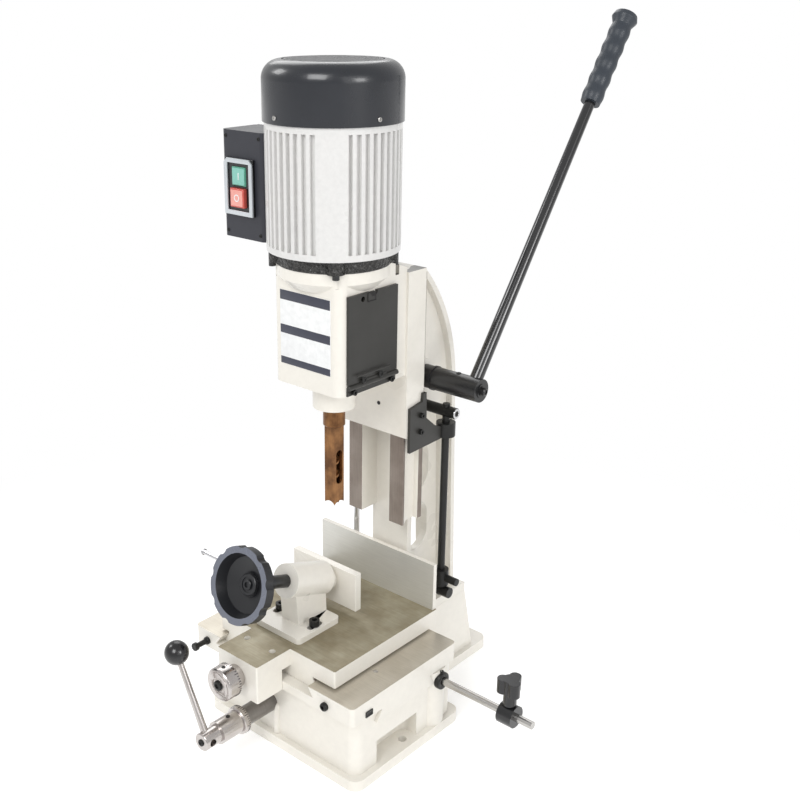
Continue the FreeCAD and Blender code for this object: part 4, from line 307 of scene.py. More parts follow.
# Gloss black mouldings: ball, knob, gland and switch frame
BLACK_PLASTIC = Finish("Gloss black moulding", "#121214", "#18181a", Surface.MOULDED,
                       "black_plastic", roughness=0.22, grain_mm=4.0, depth_mm=0.01, coat=0.3)
# Fronts of the buttons: paler than their sides, a painted highlight of the light on the forward
# faces
GREEN_FRONT_PAINTED_HIGHLIGHT = Finish("Green button front painted highlight", "#8ccabc", "#7ebcae", Surface.MOULDED, "green",
                     roughness=0.32, grain_mm=2.0, depth_mm=0.01)
RED_FRONT_PAINTED_HIGHLIGHT = Finish("Red button front painted highlight", "#efa99e", "#e5968b", Surface.MOULDED, "red",
                   roughness=0.32, grain_mm=2.0, depth_mm=0.01)
GREEN_PLASTIC = Finish("Green push button", "#5aa58c", "#4f967d", Surface.MOULDED, "green",
                       roughness=0.30, grain_mm=2.0, depth_mm=0.01)
RED_PLASTIC = Finish("Red push button", "#d65f55", "#c8534a", Surface.MOULDED, "red",
                     roughness=0.30, grain_mm=2.0, depth_mm=0.01)
# Brushed bezel of the switch
BEZEL_METAL = Finish("Brushed bezel", "#d5dade", "#c3c9ce", Surface.TURNED, "aluminium", 0.35,
                     0.30, 0.6, 0.01, ALONG_Z)
# Printed white marks and the blank plate
WHITE_PAINT = Finish("White plate enamel", "#f0f1f1", "#e9eaea", Surface.GLOSS, "motor_white",
                     roughness=0.35, grain_mm=8.0, depth_mm=0.01)
# Plain dark bands of the blank plate
BAND_PAINT = Finish("Slate printing on plate", "#3b3d4b", "#363845", Surface.GLOSS,
                    "cover_black", roughness=0.38, grain_mm=8.0, depth_mm=0.01)
# Filled graduation lines
MARK_BLACK = Finish("Black filled graduation", "#1d1b1a", "#151414", Surface.GLOSS,
                    "black_plastic", roughness=0.5, grain_mm=4.0, depth_mm=0.01)
CABLE_RUBBER = Finish("Cable rubber", "#161617", "#1c1c1d", Surface.MOULDED, "rubber",
                      roughness=0.55, grain_mm=0.8, depth_mm=0.03)
WINDING = Finish("Varnished winding", "#8a4a22", "#6b3718", Surface.TURNED, "copper", 0.4, 0.4,
                 1.0, 0.1, ALONG_Z)

CAD_FINISH: dict[Finish, tuple[str, ...]] = {
    CREAM_ENAMEL: ("base_casting", "column_casting", "head_casting", "saddle_casting",
                   "table_casting", "vice_bracket", "vice_jaw", "fence"),
    MOTOR_ENAMEL: ("motor_housing",),
    COVER_ENAMEL: ("fan_cover",),
    SWITCH_PLASTIC: ("switch_box", "switch_box_lid"),
    WRINKLE_PAINT: ("motor_flange",),
    RAIL_IRON: ("head_gib", "table_gib"),
    BAR_STEEL: ("table_stop_rod", "head_rack", "motor_bearings", "motor_rotor", "drive_pinion",
                "cross_nut", "fence_screws"),
    HUB_STEEL: ("cross_screw", "capstan_shaft", "capstan_hub", "capstan_lever"),
    SLEEVE_STEEL: ("capstan_sleeve",),
    CHROME: ("strut_rod", "drill_chuck", "handwheel_pin"),
    PLATE_BLACK: ("chuck_door", "door_hinge", "stop_bracket", "strut_bracket"),
    HUB_BLACK: ("lever_hub", "clamp_screw", "strut_tube", "flange_bolts"),
    BLACK_STEEL: ("column_screws", "depth_rod", "rod_supports", "depth_stop_collar",
                  "guide_collar", "small_screws", "vice_screws"),
    LEVER_LACQUER: ("lever_rod",),
    TOOL_STEEL: ("hollow_chisel", "auger_bit"),
    GRIP_PLASTIC: ("lever_grip",),
    WHEEL_PLASTIC: ("clamp_handwheel",),
    BLACK_PLASTIC: ("cable_gland", "switch_module", "cooling_fan", "lever_ball", "stop_knob",
                    "table_stop_collar"),
    GREEN_PLASTIC: ("start_button",),
    RED_PLASTIC: ("stop_button",),
    CABLE_RUBBER: ("motor_lead",),
    WINDING: ("stator",),
}

# Edge rounding in millimetres: large on castings, small on machined parts
EDGE_MM: dict[str, float] = {
    "base_casting": 2.5, "column_casting": 1.6, "head_casting": 1.8, "saddle_casting": 1.5,
    "motor_housing": 0.7, "fan_cover": 0.4, "motor_flange": 1.2, "table_casting": 1.0,
    "switch_box": 1.5, "switch_box_lid": 1.0, "chuck_door": 1.0, "clamp_handwheel": 1.5,
    "stop_knob": 2.0, "lever_hub": 0.8, "vice_bracket": 1.2, "vice_jaw": 0.8, "fence": 0.6,
}
PLAIN_EDGE_MM = 0.35
CREASE_DEG = 32.0


@cache
def material_of(finish: Finish) -> bpy.types.Material:
    """Material of a finish, built once and then handed out again.

    Args:
        finish: The finish wanted.

    Returns:
        The one material of that finish.
    """
    return finish.material()


@dataclass(frozen=True)
class BareFace:
    """Faces of a CAD node that are machined bare, or take a second finish."""

    node: str
    finish: Finish
    normal: Point
    level_mm: float
    floor_mm: float = -1000.0
    slack_mm: float = 0.4

    def holds(self, centre: Vector, normal: Vector) -> bool:
        """Tell whether a face belongs to this plane.

        Args:
            centre: The face's middle in millimetres.
            normal: The face's unit normal.

        Returns:
            True if the face is on the plane, facing its way and above its floor.
        """
        way = Vector(self.normal)
        return (normal.dot(way) > 0.995 and abs(centre.dot(way) - self.level_mm) < self.slack_mm
                and centre.z > self.floor_mm)


def bare_faces() -> list[BareFace]:
    """Planes with a second finish, worked out from the frame's boxes.

    Returns:
        One entry per plane.
    """
    table_top = node_box("table_casting")[1].z
    saddle_top = node_box("table_gib")[1].z
    fence_front = node_box("fence")[0].y
    rail_front = node_box("column_casting")[0].y
    rail_side = 44.0
    rail_bottom = 251.0
    jaw_rear = node_box("vice_jaw")[1].y
    block_top = seat("head_casting", (45.0, 80.0, 900.0), DOWN).z
    wheel_face = max((corner.co / MM).dot(Vector(WHEEL_OUT))
                     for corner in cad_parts["clamp_handwheel"].data.vertices)
    return [
        BareFace("table_casting", GROUND_IRON, UP, table_top),
        # the saddle top's grey is partly painted shade
        BareFace("saddle_casting", SLIDE_IRON_AND_SHADE, UP, saddle_top),
        # the top of the slide block is coloured grey
        BareFace("head_casting", BLOCK_TOP_GREY, UP, block_top),
        # the rim face's paler blue grey is a painted reflection
        BareFace("clamp_handwheel", RIM_PAINTED_REFLECTION, WHEEL_OUT, wheel_face),
        BareFace("fence", FENCE_IRON, FRONT, -fence_front),
        BareFace("vice_jaw", FENCE_IRON, BACK, jaw_rear),
        BareFace("column_casting", RAIL_IRON, FRONT, -rail_front, rail_bottom),
        BareFace("column_casting", RAIL_IRON, RIGHT, rail_side, rail_bottom),
        BareFace("column_casting", RAIL_IRON, LEFT, rail_side, rail_bottom),
    ]


class CadDressing:
    """Gives every carried-over CAD node its finish, soft edges and smooth shading."""

    def __init__(self) -> None:
        """Sort the second finishes by node."""
        self.second: dict[str, list[BareFace]] = {}
        for plane in bare_faces():
            self.second.setdefault(plane.node, []).append(plane)

    def dress(self) -> None:
        """Dress all nodes of the frame."""
        for finish, names in CAD_FINISH.items():
            for name in names:
                self._node(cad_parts[name], finish)
        LOG.info("dressed %d CAD nodes", len(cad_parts))

    def _node(self, node: bpy.types.Object, finish: Finish) -> None:
        """Dress one node.

        Args:
            node: The CAD node's object.
            finish: The finish it takes.
        """
        planes = self.second.get(node.name, [])
        node.data.materials.clear()
        node.data.materials.append(material_of(finish))
        for plane in planes:
            node.data.materials.append(material_of(plane.finish))
        for face in node.data.polygons:
            face.material_index = 0
            face.use_smooth = True
            for number, plane in enumerate(planes, start=1):
                if plane.holds(face.center / MM, face.normal):
                    face.material_index = number
        weld = node.modifiers.new("Join corners", "WELD")
        weld.merge_threshold = 0.01 * MM
        flat = node.modifiers.new("Join flats", "DECIMATE")
        flat.decimate_type = "DISSOLVE"
        flat.angle_limit = math.radians(0.6)
        flat.delimit = {"MATERIAL"}
        edge = node.modifiers.new("Edge rounding", "BEVEL")
        edge.width = EDGE_MM.get(node.name, PLAIN_EDGE_MM) * MM
        edge.segments = 2
        edge.limit_method = "ANGLE"
        edge.angle_limit = math.radians(CREASE_DEG)
        edge.harden_normals = True
        even = node.modifiers.new("Even normals", "WEIGHTED_NORMAL")
        even.keep_sharp = True


def clear_bench() -> None:
    """Leave edit mode and deselect everything, so that an operator meets only its own piece."""
    if bpy.context.mode != "OBJECT":
        bpy.ops.object.mode_set(mode="OBJECT")
    bpy.ops.object.select_all(action="DESELECT")


class Workpiece:
    """One new piece on the bench, shaped by hand tools; all sizes are in millimetres."""

    def __init__(self, name: str) -> None:
        """Start with nothing but a name.

        Args:
            name: Name of the piece in the scene.
        """
        self.name = name
        self.item: bpy.types.Object | None = None
        self.radius = 0.0
        self.height = 0.0

    def _take(self) -> "Workpiece":
        """Name the fresh primitive and put its place into its mesh."""
        self.item = bpy.context.active_object
        self.item.name = self.name
        self.item.data.name = self.name
        bpy.ops.object.transform_apply(location=True, rotation=True, scale=True)
        return self

    def _pick_up(self) -> None:
        """Make this piece the active one and the only one selected."""
        clear_bench()
        self.item.select_set(True)
        bpy.context.view_layer.objects.active = self.item

    def disc(self, radius: float, sides: int = 40) -> "Workpiece":
        """Begin with a filled circle about Z, ready to be turned upwards.

        Args:
            radius: Radius of the circle.
            sides: Number of its corners.

        Returns:
            This piece.
        """
        clear_bench()
        bpy.ops.mesh.primitive_circle_add(vertices=sides, radius=radius * MM, fill_type="NGON")
        self.radius = radius
        self.height = 0.0
        return self._take()

    def block(self, low: Sequence[float], high: Sequence[float]) -> "Workpiece":
        """Begin with a box between two corners.

        Args:
            low: Lowest corner.
            high: Highest corner.

        Returns:
            This piece.
        """
        clear_bench()
        low, high = Vector(low), Vector(high)
        bpy.ops.mesh.primitive_cube_add(size=1.0, location=(low + high) / 2 * MM)
        bpy.context.active_object.scale = (high - low) * MM
        return self._take()

    @contextmanager
    def _editing(self, kind: str = "FACE") -> Iterator[bmesh.types.BMesh]:
        """Open the piece in edit mode and close it again.

        Args:
            kind: FACE, EDGE or VERT selection.
        """
        self._pick_up()
        bpy.ops.object.mode_set(mode="EDIT")
        bpy.ops.mesh.select_mode(type=kind)
        yield bmesh.from_edit_mesh(self.item.data)
        bpy.ops.object.mode_set(mode="OBJECT")

    def turn(self, steps: Sequence[tuple[float, float]]) -> "Workpiece":
        """Turn a profile on the disc: each step lifts the end face and sets its radius.

        Args:
            steps: Pairs of lift and new radius; a lift of nothing makes a shoulder.

        Returns:
            This piece.
        """
        with self._editing() as mesh:
            bpy.ops.mesh.select_all(action="DESELECT")
            top = max(mesh.faces, key=lambda face: face.calc_center_median().z)
            top.select_set(True)
            bmesh.update_edit_mesh(self.item.data)
            for lift, radius in steps:
                bpy.ops.mesh.extrude_region_move(
                    TRANSFORM_OT_translate={"value": (0.0, 0.0, lift * MM)})
                self.height += lift
                share = radius / self.radius
                bpy.ops.transform.resize(value=(share, share, 1.0),
                                         center_override=(0.0, 0.0, self.height * MM))
                self.radius = radius
        return self

    def step_in(self, test: Callable[[Vector, Vector], bool], width: float,
                depth: float) -> "Workpiece":
        """Inset some faces and sink or raise them.

        Args:
            test: Picks faces by middle in millimetres and by normal.
            width: How far the faces' edges move in.
            depth: How far the faces rise, negative to sink them.

        Returns:
            This piece.
        """
        with self._editing() as mesh:
            bpy.ops.mesh.select_all(action="DESELECT")
            for face in mesh.faces:
                if test(face.calc_center_median() / MM, face.normal):
                    face.select_set(True)
            bmesh.update_edit_mesh(self.item.data)
            bpy.ops.mesh.inset(thickness=width * MM, depth=depth * MM)
        return self

    def _modifier(self, kind: str, **settings: object) -> None:
        """Add one modifier, set it and apply it.

        Args:
            kind: Blender's type name of the modifier.
            settings: Its settings.
        """
        self._pick_up()
        made = self.item.modifiers.new(kind.title(), kind)
        for key, value in settings.items():
            setattr(made, key, value)
        bpy.ops.object.modifier_apply(modifier=made.name)

    def soften(self, width: float, rounds: int = 2, over_deg: float = 30.0) -> "Workpiece":
        """Round the piece's sharp edges.

        Args:
            width: Width of the rounding.
            rounds: Steps in it.
            over_deg: Edges sharper than this are rounded.

        Returns:
            This piece.
        """
        self._modifier("BEVEL", width=width * MM, segments=rounds, limit_method="ANGLE",
                       angle_limit=math.radians(over_deg))
        return self

    def cut(self, cutter: "Workpiece") -> "Workpiece":
        """Cut another piece out of this one and throw the cutter away."""
        self._modifier("BOOLEAN", operation="DIFFERENCE", object=cutter.item, solver="EXACT")
        bpy.data.objects.remove(cutter.item)
        return self

    def place(self, origin: Sequence[float], axis: Sequence[float] = UP,
              spin_deg: float = 0.0) -> "Workpiece":
        """Stand the piece's Z axis along an axis at a place, and keep that in the mesh.

        Args:
            origin: Where the piece's origin goes.
            axis: Direction that the piece's Z takes.
            spin_deg: Turn about the piece's own Z before it is stood up.

        Returns:
            This piece.
        """
        way = Vector(axis).to_track_quat("Z", "Y").to_matrix().to_4x4()
        spin = Matrix.Rotation(math.radians(spin_deg), 4, "Z")
        self._pick_up()
        self.item.matrix_world = Matrix.Translation(Vector(origin) * MM) @ way @ spin
        bpy.ops.object.transform_apply(location=True, rotation=True, scale=True)
        return self

    def join(self, others: Sequence["Workpiece"]) -> "Workpiece":
        """Join other pieces into this one as separate shells."""
        self._pick_up()
        for other in others:
            other.item.select_set(True)
        bpy.ops.object.join()
        return self

    def hand_over(self, finish: Finish, body: str, crease_deg: float = 35.0) -> bpy.types.Object:
        """Close the piece's work: even normals, shading, finish and body.

        Args:
            finish: The finish it takes.
            body: The CAD body it rides on.
            crease_deg: Edges flatter than this are shaded smooth.

        Returns:
            The finished object.
        """
        with self._editing():
            bpy.ops.mesh.select_all(action="SELECT")
            bpy.ops.mesh.remove_doubles(threshold=0.002 * MM)
            bpy.ops.mesh.normals_make_consistent(inside=False)
        self.item.select_set(True)
        bpy.ops.object.shade_smooth_by_angle(angle=math.radians(crease_deg))
        self.item.data.materials.clear()
        self.item.data.materials.append(material_of(finish))
        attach(self.item, body)
        LOG.info("made %s on %s", self.name, body)
        return self.item


class Drive(Enum):
    """Drive cut into a screw's head."""

    HEX = "hexagon socket"
    CROSS = "cross recess"


# Crown of a screw head: lift as a share of its rise, and radius as a share of its radius
CROWN = ((0.12, 1.0), (0.5, 1.0), (0.26, 0.9), (0.12, 0.7))


@dataclass
class Screw:
    """A screw head with a rounded crown and its drive cut in."""

    name: str
    spot: Sequence[float]
    axis: Sequence[float]
    radius: float
    rise: float
    body: str
    drive: Drive = Drive.HEX
    finish: Finish = BLACK_STEEL

    def build(self) -> bpy.types.Object:
        """Turn the head, cut its drive and seat it.

        Returns:
            The finished screw head.
        """
        head = Workpiece(self.name).disc(self.radius * 0.96)
        head.turn([(self.rise * lift, self.radius * share) for lift, share in CROWN])
        for cutter in self._cutters():
            head.cut(cutter)
        return head.place(self.spot, self.axis).hand_over(self.finish, self.body)

    def _cutters(self) -> list[Workpiece]:
        """Cutters of the drive, whose floor is at 0.45 of the head's rise."""
        floor = self.rise * 0.45
        above = self.rise * 1.5
        if self.drive is Drive.HEX:
            reach = self.radius * 0.52
            made = Workpiece("Hexagon").disc(reach, sides=6).turn(((above - floor, reach),))
            return [made.place((0.0, 0.0, floor))]
        half, wide = self.radius * 0.62, self.radius * 0.12
        return [Workpiece("Blade").block((-x, -y, floor), (x, y, above))
                for x, y in ((half, wide), (wide, half))]


def ring_piece(name: str, outer: float, inner: float, rise: float,
               edge: float = 0.3) -> Workpiece:
    """A flat ring about Z with softened edges.

    Args:
        name: Name of the piece.
        outer: Outer radius.
        inner: Radius of the hole.
        rise: Height.
        edge: Width of the softened edges.

    Returns:
        The ring, still at the origin.
    """
    hole = Workpiece("Bore").disc(inner, sides=48).turn(((3 * rise, inner),))
    hole.place((0.0, 0.0, -rise))
    return Workpiece(name).disc(outer, sides=48).turn(((rise, outer),)).cut(hole).soften(edge)


@dataclass
class MotorTrim:
    """Screws round the skirt of the fan cover."""

    screw_radius: float = 2.6
    screw_rise: float = 1.6
    screw_lift: float = 7.0
    screw_angles: tuple[float, ...] = (-9.0, 81.0, 171.0, 261.0)

    def build(self) -> None:
        """Seat the four cover screws round the cover's skirt."""
        low, high = node_box("fan_cover")
        for number, angle in enumerate(self.screw_angles, start=1):
            x, y = math.cos(math.radians(angle)), math.sin(math.radians(angle))
            Screw(f"cover_screw_{number}", (x * high.x, y * high.x, low.z + self.screw_lift),
                  (x, y, 0.0), self.screw_radius, self.screw_rise, "head", Drive.CROSS,
                  BAR_STEEL).build()


@dataclass
class SwitchTrim:
    """Bezel, button fronts, marks and case screws of the switch."""

    bezel_wide: float = 5.2
    bezel_rise: float = 2.6
    corner_cut: float = 7.0
    cut_reach: float = 9.0
    bar_half_x: float = 0.7
    bar_half_z: float = 4.0
    loop_outer: float = 4.2
    loop_inner: float = 3.0
    mark_rise: float = 0.35
    screw_inset: float = 7.0

    def build(self) -> None:
        """Build the switch's trim on the head."""
        self._bezel()
        # the pale colour of both button caps is a painted highlight
        self._face("start_button", 1.3, "green_face_painted_highlight", GREEN_FRONT_PAINTED_HIGHLIGHT)
        self._face("stop_button", 1.6, "red_face_painted_highlight", RED_FRONT_PAINTED_HIGHLIGHT)
        self._marks()
        self._case_screws()

    def _bezel(self) -> None:
        """Raised frame round both buttons, with its top corners cut off."""
        low, high = node_box("switch_module")
        front, wide, half, reach = low.y, self.bezel_wide, self.corner_cut / 2, self.cut_reach
        bezel = Workpiece("switch_bezel").block((low.x, front - self.bezel_rise, low.z),
                                                (high.x, front, high.z))
        bezel.cut(Workpiece("Window").block((low.x + wide, front - reach, low.z + wide),
                                            (high.x - wide, front + reach, high.z - wide)))
        turned = Matrix.Rotation(math.radians(45), 4, "Y")
        for x in (low.x, high.x):
            corner = Workpiece("Corner").block((-half, -reach, -half), (half, reach, half))
            corner.item.data.transform(Matrix.Translation(Vector((x, front, high.z)) * MM) @ turned)
            bezel.cut(corner)
        bezel.soften(0.6).hand_over(BEZEL_METAL, "head")

    def _face(self, node: str, margin: float, name: str, finish: Finish) -> None:
        """Stepped cap on the front of one button.

        Args:
            node: The button's CAD node, and the body that the cap rides on.
            margin: Distance from the button's edge.
            name: Name of the cap.
            finish: Its finish.
        """
        low, high = node_box(node)
        cap = Workpiece(name).block((low.x + margin, low.y - 0.6, low.z + margin),
                                    (high.x - margin, low.y + 0.2, high.z - margin))
        cap.step_in(lambda centre, normal: normal.y < -0.9, 2.6, -0.35)
        cap.soften(0.3).hand_over(finish, node)

    def _marks(self) -> None:
        """I on the start button and O on the stop button, as raised lines."""
        at, front = middle("start_button"), node_box("start_button")[0].y
        (Workpiece("mark_on")
         .block((at.x - self.bar_half_x, front - 0.55, at.z - self.bar_half_z),
                (at.x + self.bar_half_x, front - 0.1, at.z + self.bar_half_z))
         .soften(0.2).hand_over(WHITE_PAINT, "start_button"))
        at, front = middle("stop_button"), node_box("stop_button")[0].y
        (ring_piece("mark_off", self.loop_outer, self.loop_inner, self.mark_rise, 0.12)
         .place((at.x, front - 0.2, at.z), FRONT).hand_over(WHITE_PAINT, "stop_button"))

    def _case_screws(self) -> None:
        """Four screws at the corners of the case's front."""
        low, high = node_box("switch_box")
        inset = self.screw_inset
        corners = [(x, z) for x in (low.x + inset, high.x - inset)
                   for z in (low.z + inset, high.z - inset)]
        for number, (x, z) in enumerate(corners, start=1):
            Screw(f"case_screw_{number}", (x, low.y, z), FRONT, 2.2, 1.0, "head",
                  Drive.CROSS).build()


@dataclass
class HeadTrim:
    """Blank plate on the head's front, block screw, and the small parts of the door."""

    ray_start: float = -400.0
    plate_half: float = 38.4
    plate_low: float = 475.5
    plate_high: float = 561.8
    plate_rise: float = 0.8
    bands: tuple[tuple[float, float], ...] = ((550.1, 561.8), (511.4, 522.0), (475.5, 484.2))
    band_gap: float = 0.3
    pin_hole: tuple[float, float] = (12.4, 408.1)
    step_span: tuple[tuple[float, float], ...] = ((29.0, 474.4), (-26.0, 476.4))
    door_screws: tuple[tuple[float, float], ...] = ((-14.4, 468.8), (14.1, 468.8))
    catch_low: Point = (-6.4, -6.0, 555.5)
    catch_high: Point = (-2.2, 7.0, 565.4)

    def build(self) -> None:
        """Build the plate, the set screw in the slide block and the door's parts."""
        self._plate()
        x, z = self.pin_hole
        Screw("block_set_screw", seat("head_casting", (x, self.ray_start, z), BACK), FRONT, 2.4,
              0.6, "head", finish=MARK_BLACK).build()
        self._door()

    def _plate(self) -> None:
        """Blank enamelled plate with three plain dark bands."""
        half, gap = self.plate_half, self.band_gap
        casting = seat("head_casting", (0.0, self.ray_start, 520.0), BACK).y
        front = casting - self.plate_rise
        (Workpiece("blank_plate")
         .block((-half, front, self.plate_low), (half, casting + 0.1, self.plate_high))
         .soften(0.25).hand_over(WHITE_PAINT, "head"))
        for number, (low, high) in enumerate(self.bands, start=1):
            (Workpiece(f"plate_band_{number}")
             .block((-half + gap, front - 0.12, low + gap), (half - gap, front + 0.05, high - gap))
             .soften(0.08).hand_over(BAND_PAINT, "head"))

    def _door(self) -> None:
        """Pressed step, two round head screws and dark catch of the chuck door."""
        face = node_box("chuck_door")[1].x
        (rear, low), (front, high) = self.step_span
        (Workpiece("door_step").block((face - 0.2, front, low), (face + 1.0, rear, high))
         .soften(0.45).hand_over(PLATE_BLACK, "door"))
        for number, (y, z) in enumerate(self.door_screws, start=1):
            Screw(f"door_screw_{number}", (face, y, z), RIGHT, 3.8, 1.0, "door").build()
        on_face = Vector((face, 0.0, 0.0))
        (Workpiece("door_catch")
         .block(on_face + Vector(self.catch_low), on_face + Vector(self.catch_high))
         .step_in(lambda centre, normal: normal.x > 0.9, 1.5, -1.2)
         .hand_over(MARK_BLACK, "head"))


@dataclass
class LeverTrim:
    """End nut and set screw of the lever hub."""

    nut_radius: float = 4.6
    nut_rise: float = 6.5
    hub_radius: float = 14.0
    screw_back: float = 34.0

    def build(self) -> None:
        """Build the lever's trim."""
        end = node_box("lever_hub")[1].x
        axis = middle("drive_pinion")
        nut, rise = self.nut_radius, self.nut_rise
        (Workpiece("hub_nut").disc(nut * 1.25)
         .turn(((0.9, nut * 1.25), (0.0, nut), (rise * 0.6, nut), (rise * 0.15, nut * 0.75),
                (0.0, nut * 0.55), (-1.0, nut * 0.5)))
         .place((end, axis.y, axis.z), RIGHT).hand_over(HUB_BLACK, "lever"))
        Screw("hub_set_screw", (end - self.screw_back, axis.y, axis.z + self.hub_radius), UP,
              3.0, 0.9, "lever").build()


@dataclass
class DialTrim:
    """Graduations and set screws of the two dials at the front."""

    line_wide: float = 0.8
    line_rise: float = 0.25
    long_line: float = 5.0
    short_line: float = 3.0
    lines: int = 40
    feed_rim: float = 18.0
    feed_screw_back: float = 9.0
    slide_radius: float = 17.0
    slide_lip: float = 1.2
    slide_screw_back: float = 22.0
    collar_radius: float = 14.0

    def build(self) -> None:
        """Mark both dials and seat their screws."""
        low, high = node_box("cross_screw")
        at = middle("cross_screw")
        rim = high.x - at.x
        self._scale("feed_dial_lines", (at.x, low.y + self.feed_rim, at.z), rim, "feed_screw")
        self._face((at.x, low.y, at.z), rim)
        low, high = node_box("capstan_hub")
        at = middle("capstan_shaft")
        self._scale("slide_dial_lines", (at.x, high.y - self.slide_lip, at.z),
                    self.slide_radius, "capstan")
        collar_top = (at.x, high.y - self.slide_screw_back, at.z + self.collar_radius)
        Screw("slide_dial_screw", collar_top, UP, 2.6, 0.8, "capstan").build()
        Screw("slide_nose_screw", (at.x, low.y, at.z), FRONT, 4.2, 1.8, "capstan").build()

    def _scale(self, name: str, rear: Point, radius: float, body: str) -> None:
        """Lines round the rim of one dial, starting at its rear edge.

        Args:
            name: Name of the joined lines.
            rear: Middle of the dial at its rear edge.
            radius: Radius of the dial's rim.
            body: The body that the dial turns with.
        """
        half = self.line_wide / 2
        made = []
        for number in range(self.lines):
            length = self.long_line if number % 5 == 0 else self.short_line
            line = Workpiece(f"{name}_{number}" if number else name)
            line.block((-half, -length, radius - 0.1), (half, 0.0, radius + self.line_rise))
            turned = Matrix.Rotation(2 * math.pi * number / self.lines, 4, "Y")
            line.item.data.transform(Matrix.Translation(Vector(rear) * MM) @ turned)
            made.append(line)
        made[0].join(made[1:]).soften(0.06, 1).hand_over(MARK_BLACK, body)

    def _face(self, front: Point, radius: float) -> None:
        """Turned ring, end screw and set screw of the feed dial.

        Args:
            front: Middle of the dial's face.
            radius: Radius of its rim.
        """
        x, y, z = front
        spot = (x, y + 0.1, z)
        (ring_piece("feed_face_ring", radius * 0.78, radius * 0.40, 0.7)
         .place(spot, FRONT).hand_over(HUB_STEEL, "feed_screw"))
        Screw("feed_end_screw", spot, FRONT, 6.2, 2.4, "feed_screw").build()
        Screw("feed_dial_screw", (x, y + self.feed_screw_back, z + radius - 0.2), UP, 2.6, 0.7,
              "feed_screw").build()


@dataclass
class SaddleTrim:
    """Cap screw, lock pin, slide lock and oiler of the saddle."""

    cap_screw_at: tuple[float, float] = (82.0, 101.5)
    lock_x: float = -121.7
    lock_length: float = 23.0
    oiler_at: tuple[float, float] = (92.6, -28.4)
    lock_y: float = -76.0
    lock_half: float = 6.0
    lock_low: float = 94.0
    lock_high: float = 101.5
    pin_height: float = 101.0

    def build(self) -> None:
        """Build the saddle's trim."""
        low, high = node_box("saddle_casting")
        x, z = self.cap_screw_at
        Screw("saddle_cap_screw", (x, low.y, z), FRONT, 5.2, 5.0, "saddle").build()
        self._lock_pin(low.y)
        self._slide_lock(high.x)
        self._oiler(node_box("table_gib")[1].z)

    def _lock_pin(self, front: float) -> None:
        """Turned pin that locks the slide, at the left of the saddle's front.

        Args:
            front: Y of the saddle's front.
        """
        (Workpiece("slide_lock_pin").disc(5.0)
         .turn(((3.0, 5.0), (0.8, 4.4), (0.0, 3.4), (self.lock_length - 9.0, 3.4), (0.0, 4.8),
                (0.6, 5.2), (4.0, 5.2), (0.8, 4.4)))
         .place((self.lock_x, front, self.pin_height), FRONT).hand_over(BLACK_STEEL, "saddle"))

    def _slide_lock(self, side: float) -> None:
        """Black lock slot plug in the saddle's right end.

        Args:
            side: X of the saddle's right end.
        """
        (Workpiece("slide_lock_plug")
         .block((side - 0.2, self.lock_y - self.lock_half, self.lock_low),
                (side + 1.6, self.lock_y + self.lock_half, self.lock_high))
         .step_in(lambda centre, normal: normal.x > 0.9, 1.4, -0.8)
         .soften(0.6, 3).hand_over(BLACK_STEEL, "saddle"))

    def _oiler(self, top: float) -> None:
        """Ball oiler in the saddle's ground top.

        Args:
            top: Z of the saddle's top.
        """
        (Workpiece("ball_oiler").disc(3.0)
         .turn(((0.5, 3.0), (0.2, 2.6), (0.0, 1.6), (-0.3, 1.5), (0.25, 1.1), (0.15, 0.5)))
         .place((*self.oiler_at, top), UP).hand_over(BAR_STEEL, "saddle"))


@dataclass
class BaseTrim:
    """Rib on the base's front, and guide ring and lock screw of the table stop's rod."""

    rib_x: float = -10.5
    rib_radius: float = 4.6
    rib_low: float = 13.0
    rib_high: float = 52.0
    rib_sink: float = 0.8
    foot_step: float = 8.0
    ring_x: float = 123.6
    ring_radius: float = 11.0
    guide_screw_x: float = 127.4
    guide_screw_lift: float = 10.4

    def build(self) -> None:
        """Build the base's trim."""
        wall = node_box("base_casting")[0].y + self.foot_step
        radius = self.rib_radius
        (Workpiece("front_rib").disc(radius)
         .turn(((self.rib_high - self.rib_low, radius), (2.2, radius * 0.88),
                (1.6, radius * 0.55), (0.5, radius * 0.2)))
         .place((self.rib_x, wall + self.rib_sink, self.rib_low), UP)
         .hand_over(CREAM_ENAMEL, "base"))
        self._stop_guide()

    def _stop_guide(self) -> None:
        """Black guide ring where the table stop's rod leaves the base, with its lock screw."""
        low, high = node_box("table_stop_rod")
        at = middle("table_stop_rod")
        rod_radius = (high.z - low.z) / 2
        (ring_piece("stop_rod_guide", self.ring_radius, rod_radius + 0.6, 7.0, 0.8)
         .place((self.ring_x, at.y, at.z), RIGHT).hand_over(BLACK_STEEL, "base"))
        Screw("stop_guide_screw", (self.guide_screw_x, at.y, at.z + self.guide_screw_lift), UP,
              2.8, 3.2, "base").build()


@dataclass
class WheelTrim:
    """Stepped cap in the middle of the clamp handwheel."""

    face_radius: float = 13.0
    boss_y: float = -62.3
    boss_z: float = 206.4
    floor_back: float = 62.0

    def build(self) -> None:
        """Turn the cap and seat it on the clamp screw's axis."""
        outward = Vector(WHEEL_OUT)
        boss = Vector((middle("clamp_screw").x, self.boss_y, self.boss_z))
        (Workpiece("wheel_hub_cap").disc(self.face_radius)
         .turn(((2.0, self.face_radius), (0.8, self.face_radius - 1.0), (0.0, 9.2), (-1.0, 9.0),
                (0.0, 6.4), (2.2, 6.2), (0.6, 5.4), (0.0, 3.2), (-2.0, 3.0)))
         .place(boss + outward * self.floor_back, outward).hand_over(WHEEL_PLASTIC, "clamp"))


